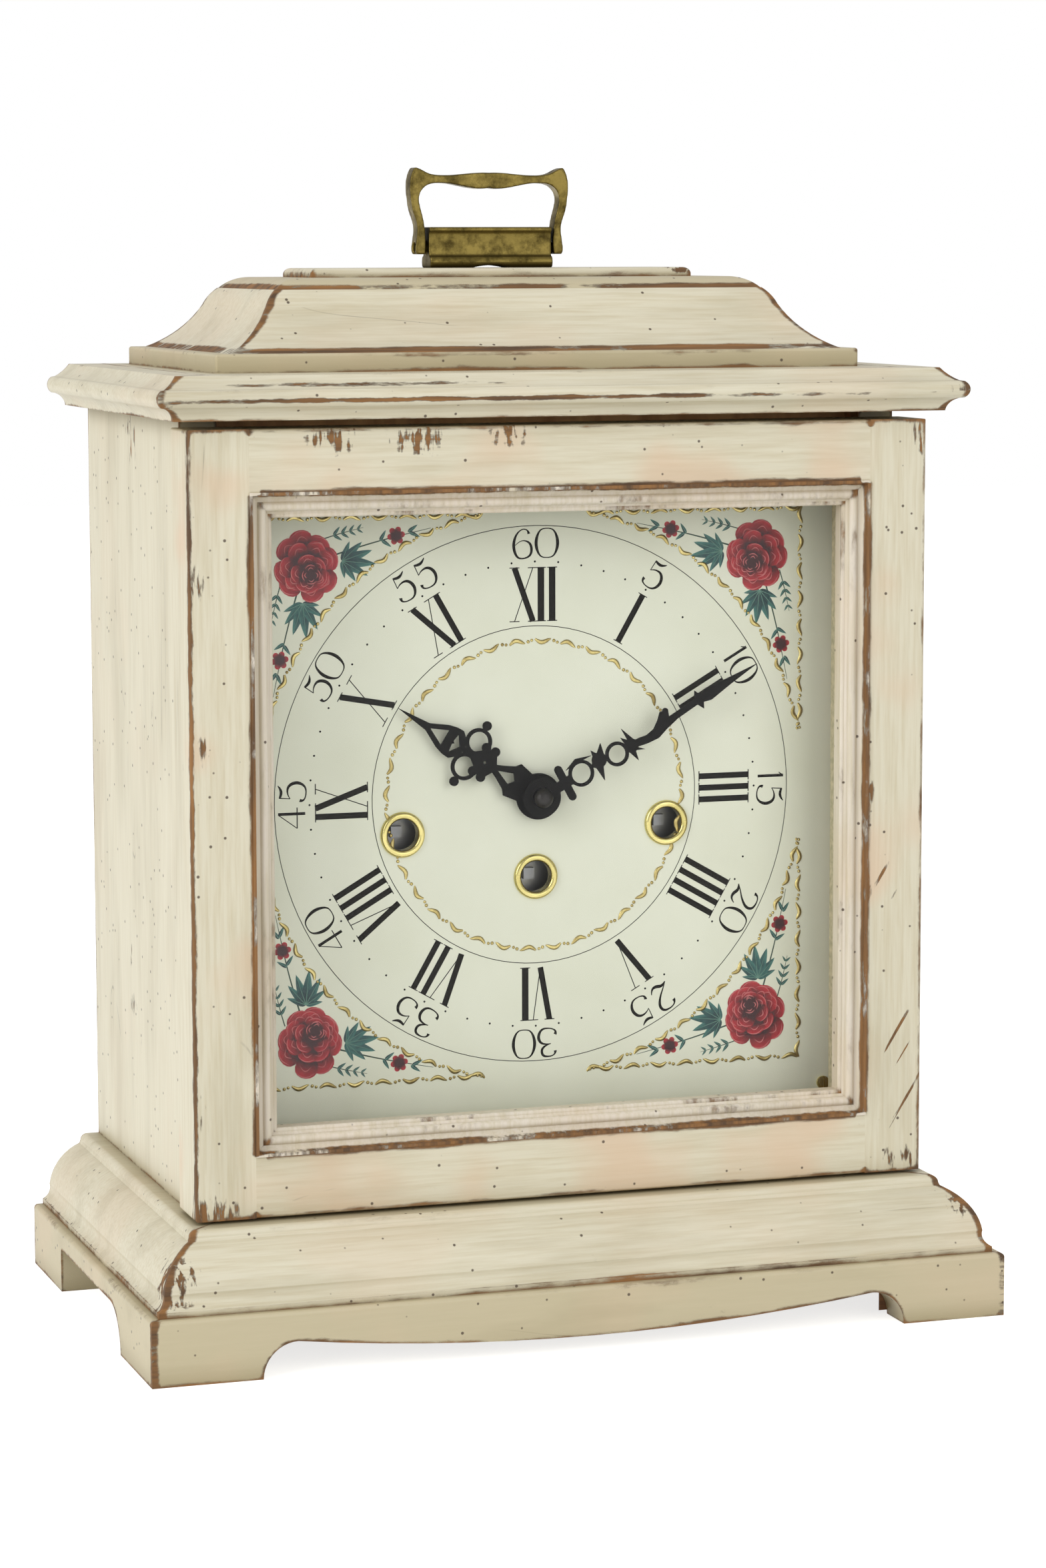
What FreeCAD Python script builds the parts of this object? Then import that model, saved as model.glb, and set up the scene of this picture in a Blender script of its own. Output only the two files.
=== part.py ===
import FreeCAD, Part
import math
import os

# Bell-top bracket clock with a glazed front door, a bail handle and a three-train movement.
# Millimetres. +Z is up, the dial faces -Y, +X is to the right of someone facing the dial.
# The origin is the middle of the footprint, on the surface that the clock stands on.

V = FreeCAD.Vector

# Overall case
base_width = 261.0
base_depth = 159.0
skirt_height = 19.0
skirt_thickness = 13.0
skirt_edge_round = 1.2
case_width = 219.0
side_thickness = 11.0
case_setback = 41.3
door_setback = 21.5
floor_thickness = 12.0

# Bracket feet cut out of the skirt
foot_width_front = 32.3
foot_cove_radius = 10.3
apron_sag = 5.7
foot_width_side = 39.5
side_cove_radius = 13.2
foot_block_width = 22.0
rear_skirt_notch_height = 9.0

# Base moulding, from the ledge on the skirt up to the floor of the case
base_ledge = 2.8
base_riser = 1.6
base_cove_rise = 4.6
base_cove_run = 2.2
base_ovolo_rise = 12.4
base_ovolo_run = 9.7
base_fillet_rise = 1.0
base_fillet_run = 0.4
base_round_rise = 2.0
base_round_run = 2.0
strip_width = 24.0

# Front door
door_width = 224.0
door_height = 225.6
door_thickness = 19.5
door_foot_gap = 0.9
door_top_gap = 2.5
frame_member_width = 17.8
frame_edge_round = 0.7
moulding_width = 7.4
moulding_raise = 0.5
moulding_depth = 8.4
moulding_lip_depth = 5.2
glass_thickness = 2.0
bead_strip = 5.0
fit_gap = 0.3

# Cornice, from the top of the sides upward
cornice_width = 244.4
cornice_setback = 12.7
cornice_strip = 17.0
lower_cove_run = 3.1
lower_cove_rise = 3.7
nose_lip = 0.2
nose_height = 4.8
nose_run = 1.3
nose_step = 1.2
upper_cove_run = 4.4
upper_cove_rise = 3.7

# Bell top
band_width = 197.0
band_front_setback = 41.4
band_back_setback = 9.0
band_height = 5.4
band_edge_round = 0.8
band_side_ledge = 5.0
band_front_ledge = 1.6
ogee_lower_run = 14.5
ogee_lower_rise = 13.0
ogee_upper_run = 3.7
ogee_upper_rise = 4.9
ogee_strip = 27.0
lid_shadow_step = 0.3
lid_thickness = 3.3
lid_round_run = 8.1
pad_width = 119.0
pad_depth = 32.0
pad_thickness = 2.7
pad_round = 1.9

# Handle
bracket_length = 38.6
bracket_height = 12.1
bracket_foot_depth = 10.0
bracket_foot_band = 3.4
bracket_neck_depth = 6.2
bracket_groove_depth = 6.8
bracket_rim_depth = 8.2
bracket_rim_band = 1.3
bracket_arch_width = 11.6
bracket_arch_height = 0.7
bail_depth = 5.4
bail_half_width = 24.6
bail_height = 24.0
pivot_height = 5.9
trunnion_radius = 1.5
running_clearance = 0.05
handle_screw_radius = 1.5
handle_screw_head = 2.0
handle_screw_head_radius = 3.0
trunnion_reach = 3.2

# Dial and hands
dial_size = 194.0
dial_setback = 50.9
dial_thickness = 1.0
dial_centre_z = 156.3
dial_screw_inset = 4.6
dial_screw_radius = 1.1
dial_screw_head_radius = 2.0
dial_screw_head = 0.8
dial_board_thickness = 9.0
board_window_width = 108.0
board_window_height = 76.0
board_window_drop = 8.0
winding_spread = 41.2
winding_drop = 10.0
time_arbor_drop = 24.3
dial_hole_radius = 5.6
grommet_outer_radius = 6.8
grommet_inner_radius = 4.7
grommet_rim = 1.3
hand_hole_radius = 5.0
dial_screw_length = 5.0
minute_hand_length = 77.5
minute_hand_angle = 61.0
hour_hand_length = 51.5
hour_hand_angle = 302.8
hour_hand_stand = 3.2
minute_hand_stand = 6.6
hand_thickness = 0.6
minute_boss_radius = 5.8
hour_boss_radius = 6.9
nut_radius = 3.0
nut_height = 3.6
nut_stub = 1.6
cannon_radius = 2.0
hour_pipe_outer = 2.8
stud_radius = 1.0
minute_hub_radius = 1.7
centre_nose_setback = 0.6
lever_slot_half_height = 8.5
lever_slot_width = 3.0
lever_x = -89.5
lever_length = 30.0
lever_width = 3.0
lever_thickness = 1.2
lever_neck_radius = 0.7
lever_knob_radius = 2.2
lever_pivot_radius = 1.0
lever_pocket_depth = 3.0
lever_pocket_half_height = 10.5

# Movement
plate_width = 132.0
plate_height = 104.0
plate_thickness = 2.0
plate_drop = 6.0
pillar_length_share = 0.5134
pillar_radius = 4.0
pillar_inset = 8.0
pillar_stud_radius = 2.2
pillar_stud_length = 6.0
pillar_nut_radius = 3.6
pillar_nut_height = 2.0
arbor_radius = 1.2
slim_arbor_radius = 0.9
pivot_radius = 0.6
end_shake = 0.3
winding_arbor_radius = 2.4
winding_square = 3.3
winding_pivot_radius = 1.6
winding_end_setback = 6.2
collar_radius = 4.0
collar_height = 1.0
barrel_radius = 19.5
barrel_end_room = 4.6
barrel_wall = 1.2
barrel_slot_radius = 2.5
wheel_thickness = 1.4
great_wheel_thickness = 2.2
ratchet_radius = 9.0
ratchet_teeth = 24
ratchet_thickness = 1.6
ratchet_depth = 1.2
ratchet_gap = 0.4
click_pivot_radius = 1.8

# Gear train: tooth counts and modules
great_module = 0.5
great_teeth = 84
second_pinion_teeth = 12
second_teeth = 60
centre_pinion_teeth = 10
second_module = 0.4
centre_teeth = 60
third_pinion_teeth = 8
third_teeth = 64
third_module = 0.36
escape_pinion_teeth = 8
escape_teeth = 15
escape_radius = 7.0
cannon_teeth = 12
minute_wheel_teeth = 36
minute_pinion_teeth = 10
hour_teeth = 40
motion_module = 0.5
hour_module = 0.48
tooth_root = 1.2
tooth_tip = 0.9
drum_wheel_teeth = 24
third_arbor_bearing = 322.0
escape_arbor_bearing = 15.0
balance_bearing = 60.0
minute_arbor_bearing = 35.0
drum_arbor_bearing = 340.0
balance_radius = 11.0
balance_rim = 1.4
balance_offset = 7.9
balance_hub_radius = 1.6
balance_pivot_radius = 0.4
staff_radius = 0.6
escape_rise = 1.6
balance_rise = 5.0
cock_rise = 8.0
cock_thickness = 2.0
cock_width = 6.4
cock_reach = 15.5
wheel_rim = 2.0
spoke_width = 1.6
spoke_count = 5
wheel_hub_radius = 3.4
layer_gap = 0.8

# Chime
rod_count = 5
rod_radius = 1.5
rod_length = 150.0
rod_spacing_share = 0.1591
rod_first_share = 0.2016
rod_height_above_floor = 26.0
rod_neck_length = 6.0
rod_neck_radius = 0.9
block_length = 22.0
block_edge_share = 0.1326
block_height = 34.0
block_x = 82.0
hammer_head_share = 0.4333
hammer_head_length = 8.0
hammer_rest_gap = 1.2
hammer_arm_width = 3.0
hammer_arm_thickness = 2.0
hammer_hub_radius = 3.0
hammer_arbor_radius = 1.6
hammer_arbor_x = 36.0
hammer_arbor_z = 106.0
hammer_head_x = 58.0
hammer_tail_length = 54.6
hammer_tail_width = 2.4
drum_radius = 9.0
drum_end_share = 0.9178
drum_arbor_radius = 1.6
drum_pin_radius = 0.6
drum_pin_height = 1.4
drum_pins_per_row = 6

# Hinges, catch and back door
hinge_height = 24.0
hinge_barrel_radius = 2.0
hinge_pin_radius = 0.9
hinge_leaf = 0.65
hinge_leaf_width = 8.0
hinge_inset = 26.0
knuckle_gap = 0.25
pin_head_radius = 1.5
pin_head_height = 0.8
catch_width = 14.0
catch_depth = 7.0
back_door_thickness = 8.0
back_door_recess = 4.4
back_door_gap = 0.9
slot_count = 9
slot_width = 3.2
slot_height = 62.0
slot_pitch = 11.0
button_length = 30.0
button_width = 9.0
button_thickness = 2.0
button_inset = 12.0
button_post_radius = 2.0
button_grip_width = 2.4
button_slot_depth = 3.0
button_slot_half_height = 8.5
overrun = 5.0
hair = 0.0001

# Places worked out from the sizes above
half_base = base_width / 2
half_depth = base_depth / 2
half_case = case_width / 2
case_front_y = case_setback - half_depth
door_face_y = door_setback - half_depth
cornice_front_y = cornice_setback - half_depth
band_front_y = band_front_setback - half_depth
band_back_y = half_depth - band_back_setback
dial_face_y = dial_setback - half_depth
hour_hand_y = dial_face_y - hour_hand_stand
minute_hand_y = dial_face_y - minute_hand_stand
centre_nose_y = dial_face_y + centre_nose_setback
winding_end_y = dial_face_y + winding_end_setback
half_inner = half_case - side_thickness
base_moulding_height = base_riser + base_cove_rise + base_ovolo_rise + base_fillet_rise + base_round_rise
base_top_z = skirt_height + base_moulding_height
door_bottom_z = base_top_z + door_foot_gap
door_top_z = door_bottom_z + door_height
half_door = door_width / 2
door_back_y = door_face_y + door_thickness
case_top_z = door_top_z + door_top_gap
cornice_height = lower_cove_rise + 2 * nose_lip + nose_height + upper_cove_rise
cornice_top_z = case_top_z + cornice_height
band_top_z = cornice_top_z + band_height
ogee_top_z = band_top_z + ogee_lower_rise + ogee_upper_rise
lid_top_z = ogee_top_z + lid_thickness
pad_top_z = lid_top_z + pad_thickness
bell_middle_y = (band_front_y + band_back_y) / 2
half_frame = half_door - frame_member_width
pivot_z = pad_top_z + pivot_height
winding_z = dial_centre_z - winding_drop
time_arbor_z = dial_centre_z - time_arbor_drop
dial_back_y = dial_face_y + dial_thickness
board_back_y = dial_back_y + dial_board_thickness
front_plate_back_y = board_back_y + plate_thickness
back_door_inner_y = half_depth - back_door_recess - back_door_thickness
pillar_length = pillar_length_share * (back_door_inner_y - board_back_y)
back_plate_y = front_plate_back_y + pillar_length
back_plate_back_y = back_plate_y + plate_thickness

# The room behind the movement, which the chime shares out
chime_room = back_door_inner_y - back_plate_back_y
rod_first_y = back_plate_back_y + rod_first_share * chime_room
rod_spacing = rod_spacing_share * chime_room
block_depth = (rod_count - 1) * rod_spacing + 2 * block_edge_share * chime_room
hammer_head_radius = hammer_head_share * rod_spacing
drum_end_y = back_plate_back_y + drum_end_share * chime_room

# Layers of the movement, from the dial backward
cannon_y = board_back_y - layer_gap - great_wheel_thickness
hour_wheel_y = cannon_y - layer_gap - great_wheel_thickness
second_wheel_y = front_plate_back_y + layer_gap
great_wheel_y = second_wheel_y + wheel_thickness + 2 * layer_gap
centre_wheel_y = back_plate_y - 6 * wheel_thickness
third_wheel_y = back_plate_y - 3 * wheel_thickness
barrel_length = centre_wheel_y - great_wheel_y - great_wheel_thickness - barrel_end_room

# The bail's outline as shares of its half width and height: the bar's top, the arm's outside, the inside
bail_top_shares = [(0, 0.9333), (0.4196, 0.9083), (0.651, 0.9042), (0.7765, 0.925), (0.8863, 0.9792),
                   (0.949, 1)]
bail_outer_shares = [(0.949, 1), (0.9765, 0.9542), (1, 0.575), (0.9765, 0.45), (0.9294, 0.3083),
                     (0.9255, 0.1625), (0.9412, 0.0542), (0.9373, -0.0792)]
bail_inner_shares = [(0.8293, -0.0792), (0.8272, 0.2333), (0.8618, 0.4167), (0.8984, 0.575),
                     (0.8902, 0.6667), (0.8171, 0.7642), (0.6789, 0.8042), (0.4268, 0.7833), (0, 0.7458)]

# Hands, as shares of their length (across, along) in a hand that points straight up
minute_disc_shares = [(-0.0594, 0.1071, 0.0155), (0.0594, 0.1071, 0.0155), (-0.0065, 0.2671, 0.0297),
                      (0.0129, 0.4065, 0.0271), (-0.0335, 0.5884, 0.0116)]
minute_ring_shares = [(0, 0.1806, 0.0516, 0.0387), (0.0103, 0.3406, 0.0477, 0.0348)]
minute_outline_shares = [
    [(-0.0194, 0.0516), (0.0194, 0.0516), (0.0194, 0.1368), (-0.0194, 0.1368)],
    [(-0.0594, 0.0916), (0.0594, 0.0916), (0.0594, 0.1226), (-0.0594, 0.1226)],
    [(-0.0413, 0.1329), (-0.0606, 0.1858), (-0.0387, 0.2477), (-0.0439, 0.1858)],
    [(-0.0206, 0.249), (-0.0568, 0.2555), (-0.0335, 0.271), (-0.0606, 0.3019), (-0.0052, 0.2916),
     (0.0206, 0.271), (0.0735, 0.249), (0.0155, 0.2426), (0, 0.2258)],
    [(-0.0052, 0.3858), (-0.0374, 0.3819), (-0.0155, 0.4026), (-0.0658, 0.4013), (-0.0077, 0.4245),
     (0.0284, 0.4232), (0.0529, 0.4477), (0.0361, 0.4116), (0.0774, 0.4039), (0.031, 0.3871)],
    [(0, 0.4206), (0.0026, 0.449), (0.009, 0.4774), (0.0039, 0.5135), (-0.0181, 0.5445),
     (-0.0413, 0.5677), (-0.031, 0.5987), (-0.0065, 0.591), (-0.0052, 0.6129), (0.0194, 0.6129),
     (0.0297, 0.5626), (0.0439, 0.5161), (0.0387, 0.4671), (0.0284, 0.4232)],
    [(-0.0065, 0.5935), (0.0194, 0.5935), (0.0116, 0.7355), (-0.0116, 0.7355)],
    [(-0.04, 0.729), (-0.0103, 0.7123), (0.0103, 0.7123), (0.04, 0.729), (0.0168, 0.7406),
     (0.0258, 0.7716), (0.0129, 0.871), (0, 1), (-0.0129, 0.871), (-0.0258, 0.7716), (-0.0168, 0.7406)],
]
hour_disc_shares = [(0.1845, 0.4854, 0.0272), (0.0835, 0.3612, 0.0272), (0.0777, 0.4214, 0.0272)]
hour_ring_shares = [(0.0816, 0.4796, 0.0796, 0.0583)]
hour_outline_shares = [
    [(0, 0.0874), (0.0893, 0.101), (0.1049, 0.1883), (0.0757, 0.2117), (0.0427, 0.2757),
     (0.0194, 0.3301), (0, 0.3301)],
    [(0, 0.3146), (0.0233, 0.3146), (0.0621, 0.3379), (0.0854, 0.3534), (0.0816, 0.3961),
     (0.0466, 0.4388), (0.0175, 0.4777), (0.0175, 0.5592), (0, 0.5592)],
    [(0, 0.532), (0.0466, 0.5398), (0.0893, 0.5903), (0.0874, 0.633), (0.0738, 0.6835), (0.0233, 0.7883),
     (0, 1)],
]
hour_hole_shares = [
    [(0, 0.1709), (0.035, 0.2), (0, 0.2913)],
    [(0, 0.3728), (0.0117, 0.3845), (0, 0.3961)],
    [(0, 0.5631), (0.0583, 0.6058), (0.0097, 0.6136), (0, 0.6019)],
    [(0, 0.666), (0.0485, 0.666), (0, 0.7709)],
]

# A click beside its ratchet, as (share of the ratchet's radius, bearing)
click_outline_shares = [(1.03, -1.8), (1.04, -14.0), (1.09, -32.0), (1.46, -42.0), (1.3, -15.0), (1.09, -1.6)]
click_pivot_share = (1.28, -38.0)


def box(x0, x1, y0, y1, z0, z1):
    return Part.makeBox(x1 - x0, y1 - y0, z1 - z0, V(x0, y0, z0))


def rod_y(radius, x, z, y0, y1):
    return Part.makeCylinder(radius, y1 - y0, V(x, y0, z), V(0, 1, 0))


def rod_z(radius, x, y, z0, z1):
    return Part.makeCylinder(radius, z1 - z0, V(x, y, z0), V(0, 0, 1))


def rod_x(radius, y, z, x0, x1):
    return Part.makeCylinder(radius, x1 - x0, V(x0, y, z), V(1, 0, 0))


def place(plane, a, b, level):
    if plane == "xz":
        return V(a, level, b)
    if plane == "yz":
        return V(level, a, b)
    return V(a, b, level)


def outline_face(plane, level, path):
    """A face from a path: a pair is a corner, a pair of pairs is an arc's middle and end."""
    start = place(plane, path[0][0], path[0][1], level)
    here = start
    edges = []
    for step in path[1:]:
        if isinstance(step[0], tuple):
            middle = place(plane, step[0][0], step[0][1], level)
            end = place(plane, step[1][0], step[1][1], level)
            edges.append(Part.Arc(here, middle, end).toShape())
        else:
            end = place(plane, step[0], step[1], level)
            edges.append(Part.LineSegment(here, end).toShape())
        here = end
    if not here.isEqual(start, hair):
        edges.append(Part.LineSegment(here, start).toShape())
    return Part.Face(Part.Wire(edges))


def prism(plane, level, depth, path):
    along = {"xz": V(0, depth, 0), "yz": V(depth, 0, 0), "xy": V(0, 0, depth)}[plane]
    return outline_face(plane, level, path).extrude(along)


def joined(shapes):
    whole = shapes[0]
    for shape in shapes[1:]:
        whole = whole.fuse(shape)
    return whole.removeSplitter()


def group(shapes):
    return Part.Compound(shapes)


def mirror_x(shape):
    return shape.mirror(V(0, 0, 0), V(1, 0, 0))


def turned_y(shape, x, z, degrees):
    copy = shape.copy()
    copy.rotate(V(x, 0, z), V(0, 1, 0), degrees)
    return copy


def shifted(path, sign, a, b):
    """A profile of (setback, height) steps moved to a face at a that looks along -sign, base at b."""
    moved = []
    for step in path:
        if isinstance(step[0], tuple):
            moved.append(tuple((a + sign * s, b + h) for s, h in step))
        else:
            moved.append((a + sign * step[0], b + step[1]))
    return moved


# Mouldings

def base_profile():
    s1 = base_ledge + base_cove_run
    s2 = s1 + base_ovolo_run
    s3 = s2 + base_fillet_run
    h1 = base_riser + base_cove_rise
    h2 = h1 + base_ovolo_rise
    h3 = h2 + base_fillet_rise
    cove_share = (0.72, 0.28)
    ovolo_share = (0.34, 0.62)
    round_share = (0.3, 0.7)
    cove_mid = (base_ledge + cove_share[0] * base_cove_run, base_riser + cove_share[1] * base_cove_rise)
    ovolo_mid = (s1 + ovolo_share[0] * base_ovolo_run, h1 + ovolo_share[1] * base_ovolo_rise)
    round_mid = (s3 + round_share[0] * base_round_run, h3 + round_share[1] * base_round_rise)
    top = h3 + base_round_rise
    inner = base_ledge + strip_width
    return [(base_ledge, 0), (base_ledge, base_riser), (cove_mid, (s1, h1)), (ovolo_mid, (s2, h2)),
            (s3, h3), (round_mid, (s3 + base_round_run, top)), (inner, top), (inner, 0)]


def cornice_profile():
    cove_foot = nose_run + nose_step + lower_cove_run
    h1 = lower_cove_rise
    h2 = h1 + nose_lip
    h3 = h2 + nose_height
    h4 = h3 + nose_lip
    top = h4 + upper_cove_rise
    lower_share = (0.32, 0.62)
    upper_share = (0.45, 0.34)
    step = nose_run + nose_step
    lower_mid = (cove_foot - lower_share[0] * lower_cove_run, lower_share[1] * lower_cove_rise)
    upper_mid = (step + upper_share[0] * upper_cove_run, h4 + upper_share[1] * upper_cove_rise)
    return [(cove_foot, 0), (lower_mid, (step, h1)), (nose_run, h2), ((0, (h2 + h3) / 2), (nose_run, h3)),
            (step, h4), (upper_mid, (step + upper_cove_run, top)), (cornice_strip, top), (cornice_strip, 0)]


def ogee_profile():
    lower_share = (0.565, 0.4)
    upper_share = (0.43, 0.56)
    lower_mid = (lower_share[0] * ogee_lower_run, lower_share[1] * ogee_lower_rise)
    upper_mid = (ogee_lower_run + upper_share[0] * ogee_upper_run,
                 ogee_lower_rise + upper_share[1] * ogee_upper_rise)
    run = ogee_lower_run + ogee_upper_run
    rise = ogee_lower_rise + ogee_upper_rise
    return [(0, 0), (lower_mid, (ogee_lower_run, ogee_lower_rise)), (upper_mid, (run, rise)),
            (ogee_strip, rise), (ogee_strip, 0)]


def mitred_strips(profile, half_width, front_y, back_y, base_z, strip, mitred_back):
    """Strips of one profile along the front and sides, and along the back where it is mitred too."""
    height = max(max(h for s, h in step) if isinstance(step[0], tuple) else step[1] for step in profile)
    top = height + overrun
    length = back_y - front_y
    inner = half_width - strip
    front_run = prism("yz", -half_width, 2 * half_width, shifted(profile, 1, front_y, base_z))
    front_inner = front_y + strip
    front_plan = [(-half_width, front_y), (half_width, front_y), (inner, front_inner), (-inner, front_inner)]
    front = front_run.common(prism("xy", base_z - overrun, top + overrun, front_plan))
    side_run = prism("xz", front_y, length, shifted(profile, 1, -half_width, base_z))
    back_inner = back_y - strip if mitred_back else back_y
    side_plan = [(-half_width, front_y), (-inner, front_inner), (-inner, back_inner), (-half_width, back_y)]
    left = side_run.common(prism("xy", base_z - overrun, top + overrun, side_plan))
    strips = [front, left, mirror_x(left)]
    if mitred_back:
        middle = (front_y + back_y) / 2
        strips.append(front.mirror(V(0, middle, 0), V(0, 1, 0)))
    return strips


# Plinth

def skirt_profile():
    r = skirt_edge_round
    bend = r * (1 - math.sqrt(0.5))
    return [(0, 0), (0, skirt_height - r), ((bend, skirt_height - bend), (r, skirt_height)),
            (skirt_thickness, skirt_height), (skirt_thickness, 0)]


def cove_arc(foot, centre, radius, level):
    """From a foot's edge up and round to the underside: the middle and the end of a quarter hollow."""
    side = 1 if foot < centre else -1
    reach = radius * math.sqrt(0.5)
    return ((centre - side * reach, reach), (centre, level))


def base_skirt():
    strips = mitred_strips(skirt_profile(), half_base, -half_depth, half_depth, 0, skirt_thickness, False)
    foot = half_base - foot_width_front
    cove = foot - foot_cove_radius
    rise = foot_cove_radius
    front = [(-foot, 0), cove_arc(-foot, -cove, foot_cove_radius, rise),
             ((0, rise - apron_sag), (cove, rise)),
             ((cove + foot_cove_radius * math.sqrt(0.5), foot_cove_radius * math.sqrt(0.5)), (foot, 0)),
             (foot, -overrun), (-foot, -overrun)]
    strips[0] = strips[0].cut(prism("xz", -half_depth - overrun, skirt_thickness + 2 * overrun, front))
    near = -half_depth + foot_width_side
    far = half_depth - foot_width_side
    side = [(near, 0), cove_arc(near, near + side_cove_radius, side_cove_radius, side_cove_radius),
            (far, side_cove_radius), (far, -overrun), (near, -overrun)]
    notch = prism("yz", -half_base - overrun, skirt_thickness + 2 * overrun, side)
    strips[1] = strips[1].cut(notch)
    strips[2] = strips[2].cut(mirror_x(notch))
    return group(strips)


def rear_skirt():
    half = half_base - skirt_thickness
    upper = half_base - base_ledge - strip_width
    foot = half - foot_block_width
    notch = rear_skirt_notch_height
    top = base_top_z - floor_thickness
    path = [(-half, 0), (-foot, 0), (-foot, notch), (foot, notch), (foot, 0), (half, 0), (half, skirt_height),
            (upper, skirt_height), (upper, top), (-upper, top), (-upper, skirt_height), (-half, skirt_height)]
    return prism("xz", half_depth - skirt_thickness, skirt_thickness, path)


def glue_blocks():
    half = half_base - skirt_thickness
    reach = half - foot_block_width
    front_y = -half_depth + skirt_thickness
    corner = [(half, front_y), (half, front_y + foot_block_width), (reach, front_y)]
    front = prism("xy", skirt_edge_round, skirt_height - skirt_edge_round, corner)
    far = half_depth - foot_width_side
    rear = box(reach, half, far, half_depth - skirt_thickness, 0, skirt_height)
    return group([front, rear, mirror_x(front), mirror_x(rear)])


def base_moulding():
    strips = mitred_strips(base_profile(), half_base, -half_depth, half_depth, skirt_height,
                           base_ledge + strip_width, False)
    return group(strips)


def floor_board():
    half = half_base - base_ledge - strip_width
    front = -half_depth + base_ledge + strip_width
    return box(-half, half, front, half_depth, base_top_z - floor_thickness, base_top_z)


# Case

def plain_side():
    return box(-half_case, -half_inner, case_front_y, half_depth, base_top_z, case_top_z)


def case_side_left():
    """The side that the back door's turn button catches in."""
    x, z = button_place()
    y = half_depth - back_door_recess
    pocket = box(-half_inner - button_slot_depth, -half_inner + overrun, y,
                 y + button_thickness + 2 * fit_gap, z - button_slot_half_height, z + button_slot_half_height)
    return plain_side().cut(pocket)


def case_side_right():
    side = mirror_x(plain_side())
    for z in front_hinge_levels():
        leaf_bed = box(half_door - hinge_leaf_width, half_case + overrun, case_front_y - overrun,
                       case_front_y + hinge_leaf, z, z + hinge_height)
        side = side.cut(leaf_bed)
    return side


def top_board():
    half = cornice_width / 2 - cornice_strip
    return box(-half, half, cornice_front_y + cornice_strip, half_depth, case_top_z, cornice_top_z)


def cornice_moulding():
    return group(mitred_strips(cornice_profile(), cornice_width / 2, cornice_front_y, half_depth, case_top_z,
                               cornice_strip, False))


def dial_board():
    board = box(-half_inner, half_inner, dial_back_y, board_back_y, base_top_z, case_top_z)
    half = board_window_width / 2
    middle = dial_centre_z - board_window_drop
    window = box(-half, half, dial_back_y - overrun, board_back_y + overrun,
                 middle - board_window_height / 2, middle + board_window_height / 2)
    board = board.cut(window)
    for x, z in dial_screw_places():
        hole = rod_y(dial_screw_radius, x, z, dial_back_y - overrun, dial_back_y + dial_screw_length)
        board = board.cut(hole)
    for x, z in pillar_places():
        stud = rod_y(pillar_stud_radius, x, z, board_back_y - pillar_stud_length, board_back_y + overrun)
        board = board.cut(stud)
    pocket = box(lever_x - lever_width, lever_x + lever_length + lever_width, dial_back_y - overrun,
                 dial_back_y + lever_pocket_depth, dial_centre_z - lever_pocket_half_height,
                 dial_centre_z + lever_pocket_half_height)
    pivot = rod_y(lever_pivot_radius + running_clearance, lever_x + lever_length, dial_centre_z,
                  dial_back_y - overrun, dial_back_y + lever_pocket_depth + lever_pocket_depth)
    return board.cut(pocket).cut(pivot)


# Bell top

def bell_band():
    half = band_width / 2
    band = box(-half, half, band_front_y, band_back_y, cornice_top_z, band_top_z)
    return soften(band, band_edge_round, lambda b: b.ZMax > band_top_z - hair)


def bell_moulding():
    half_width = band_width / 2 - band_side_ledge
    front_y = band_front_y + band_front_ledge
    back_y = band_back_y - band_front_ledge
    return group(mitred_strips(ogee_profile(), half_width, front_y, back_y, band_top_z, ogee_strip, True))


def rounded_slab(half_width, half_length, base_z, height, run, rise, share):
    """A slab centred on the bell whose four edges are rounded over by one curve: run inward, rise upward."""
    knee_z = base_z + height - rise
    top_z = base_z + height
    mid_z = knee_z + share[1] * rise

    def path(half, middle):
        mid = half - share[0] * run
        flat = half - run
        knee = knee_z + hair
        rise_arc = ((middle - mid, mid_z), (middle - flat, top_z))
        fall_arc = ((middle + mid, mid_z), (middle + half, knee))
        return [(middle - half, base_z), (middle - half, knee), rise_arc, (middle + flat, top_z), fall_arc,
                (middle + half, base_z)]

    along_y = prism("xz", bell_middle_y - half_length, 2 * half_length, path(half_width, 0))
    along_x = prism("yz", -half_width, 2 * half_width, path(half_length, bell_middle_y))
    return along_y.common(along_x)


def bell_lid():
    inset = band_side_ledge + ogee_lower_run + ogee_upper_run + lid_shadow_step
    half_width = band_width / 2 - inset
    half_length = (band_back_y - band_front_y) / 2 - inset + band_side_ledge - band_front_ledge
    share = (0.38, 0.68)
    lid = rounded_slab(half_width, half_length, ogee_top_z, lid_thickness, lid_round_run,
                       lid_thickness, share)
    return drill_handle_screws(lid)


def handle_pad():
    share = (0.3, 0.7)
    pad = rounded_slab(pad_width / 2, pad_depth / 2, lid_top_z, pad_thickness, pad_round,
                       pad_round, share)
    return drill_handle_screws(pad)


def drill_handle_screws(shape):
    for x in handle_screw_places():
        hole = rod_z(handle_screw_radius, x, bell_middle_y, ogee_top_z - overrun, pad_top_z + overrun)
        shape = shape.cut(hole)
    return shape


# Handle

def handle_screw_places():
    return [-bracket_length / 4, bracket_length / 4]


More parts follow.
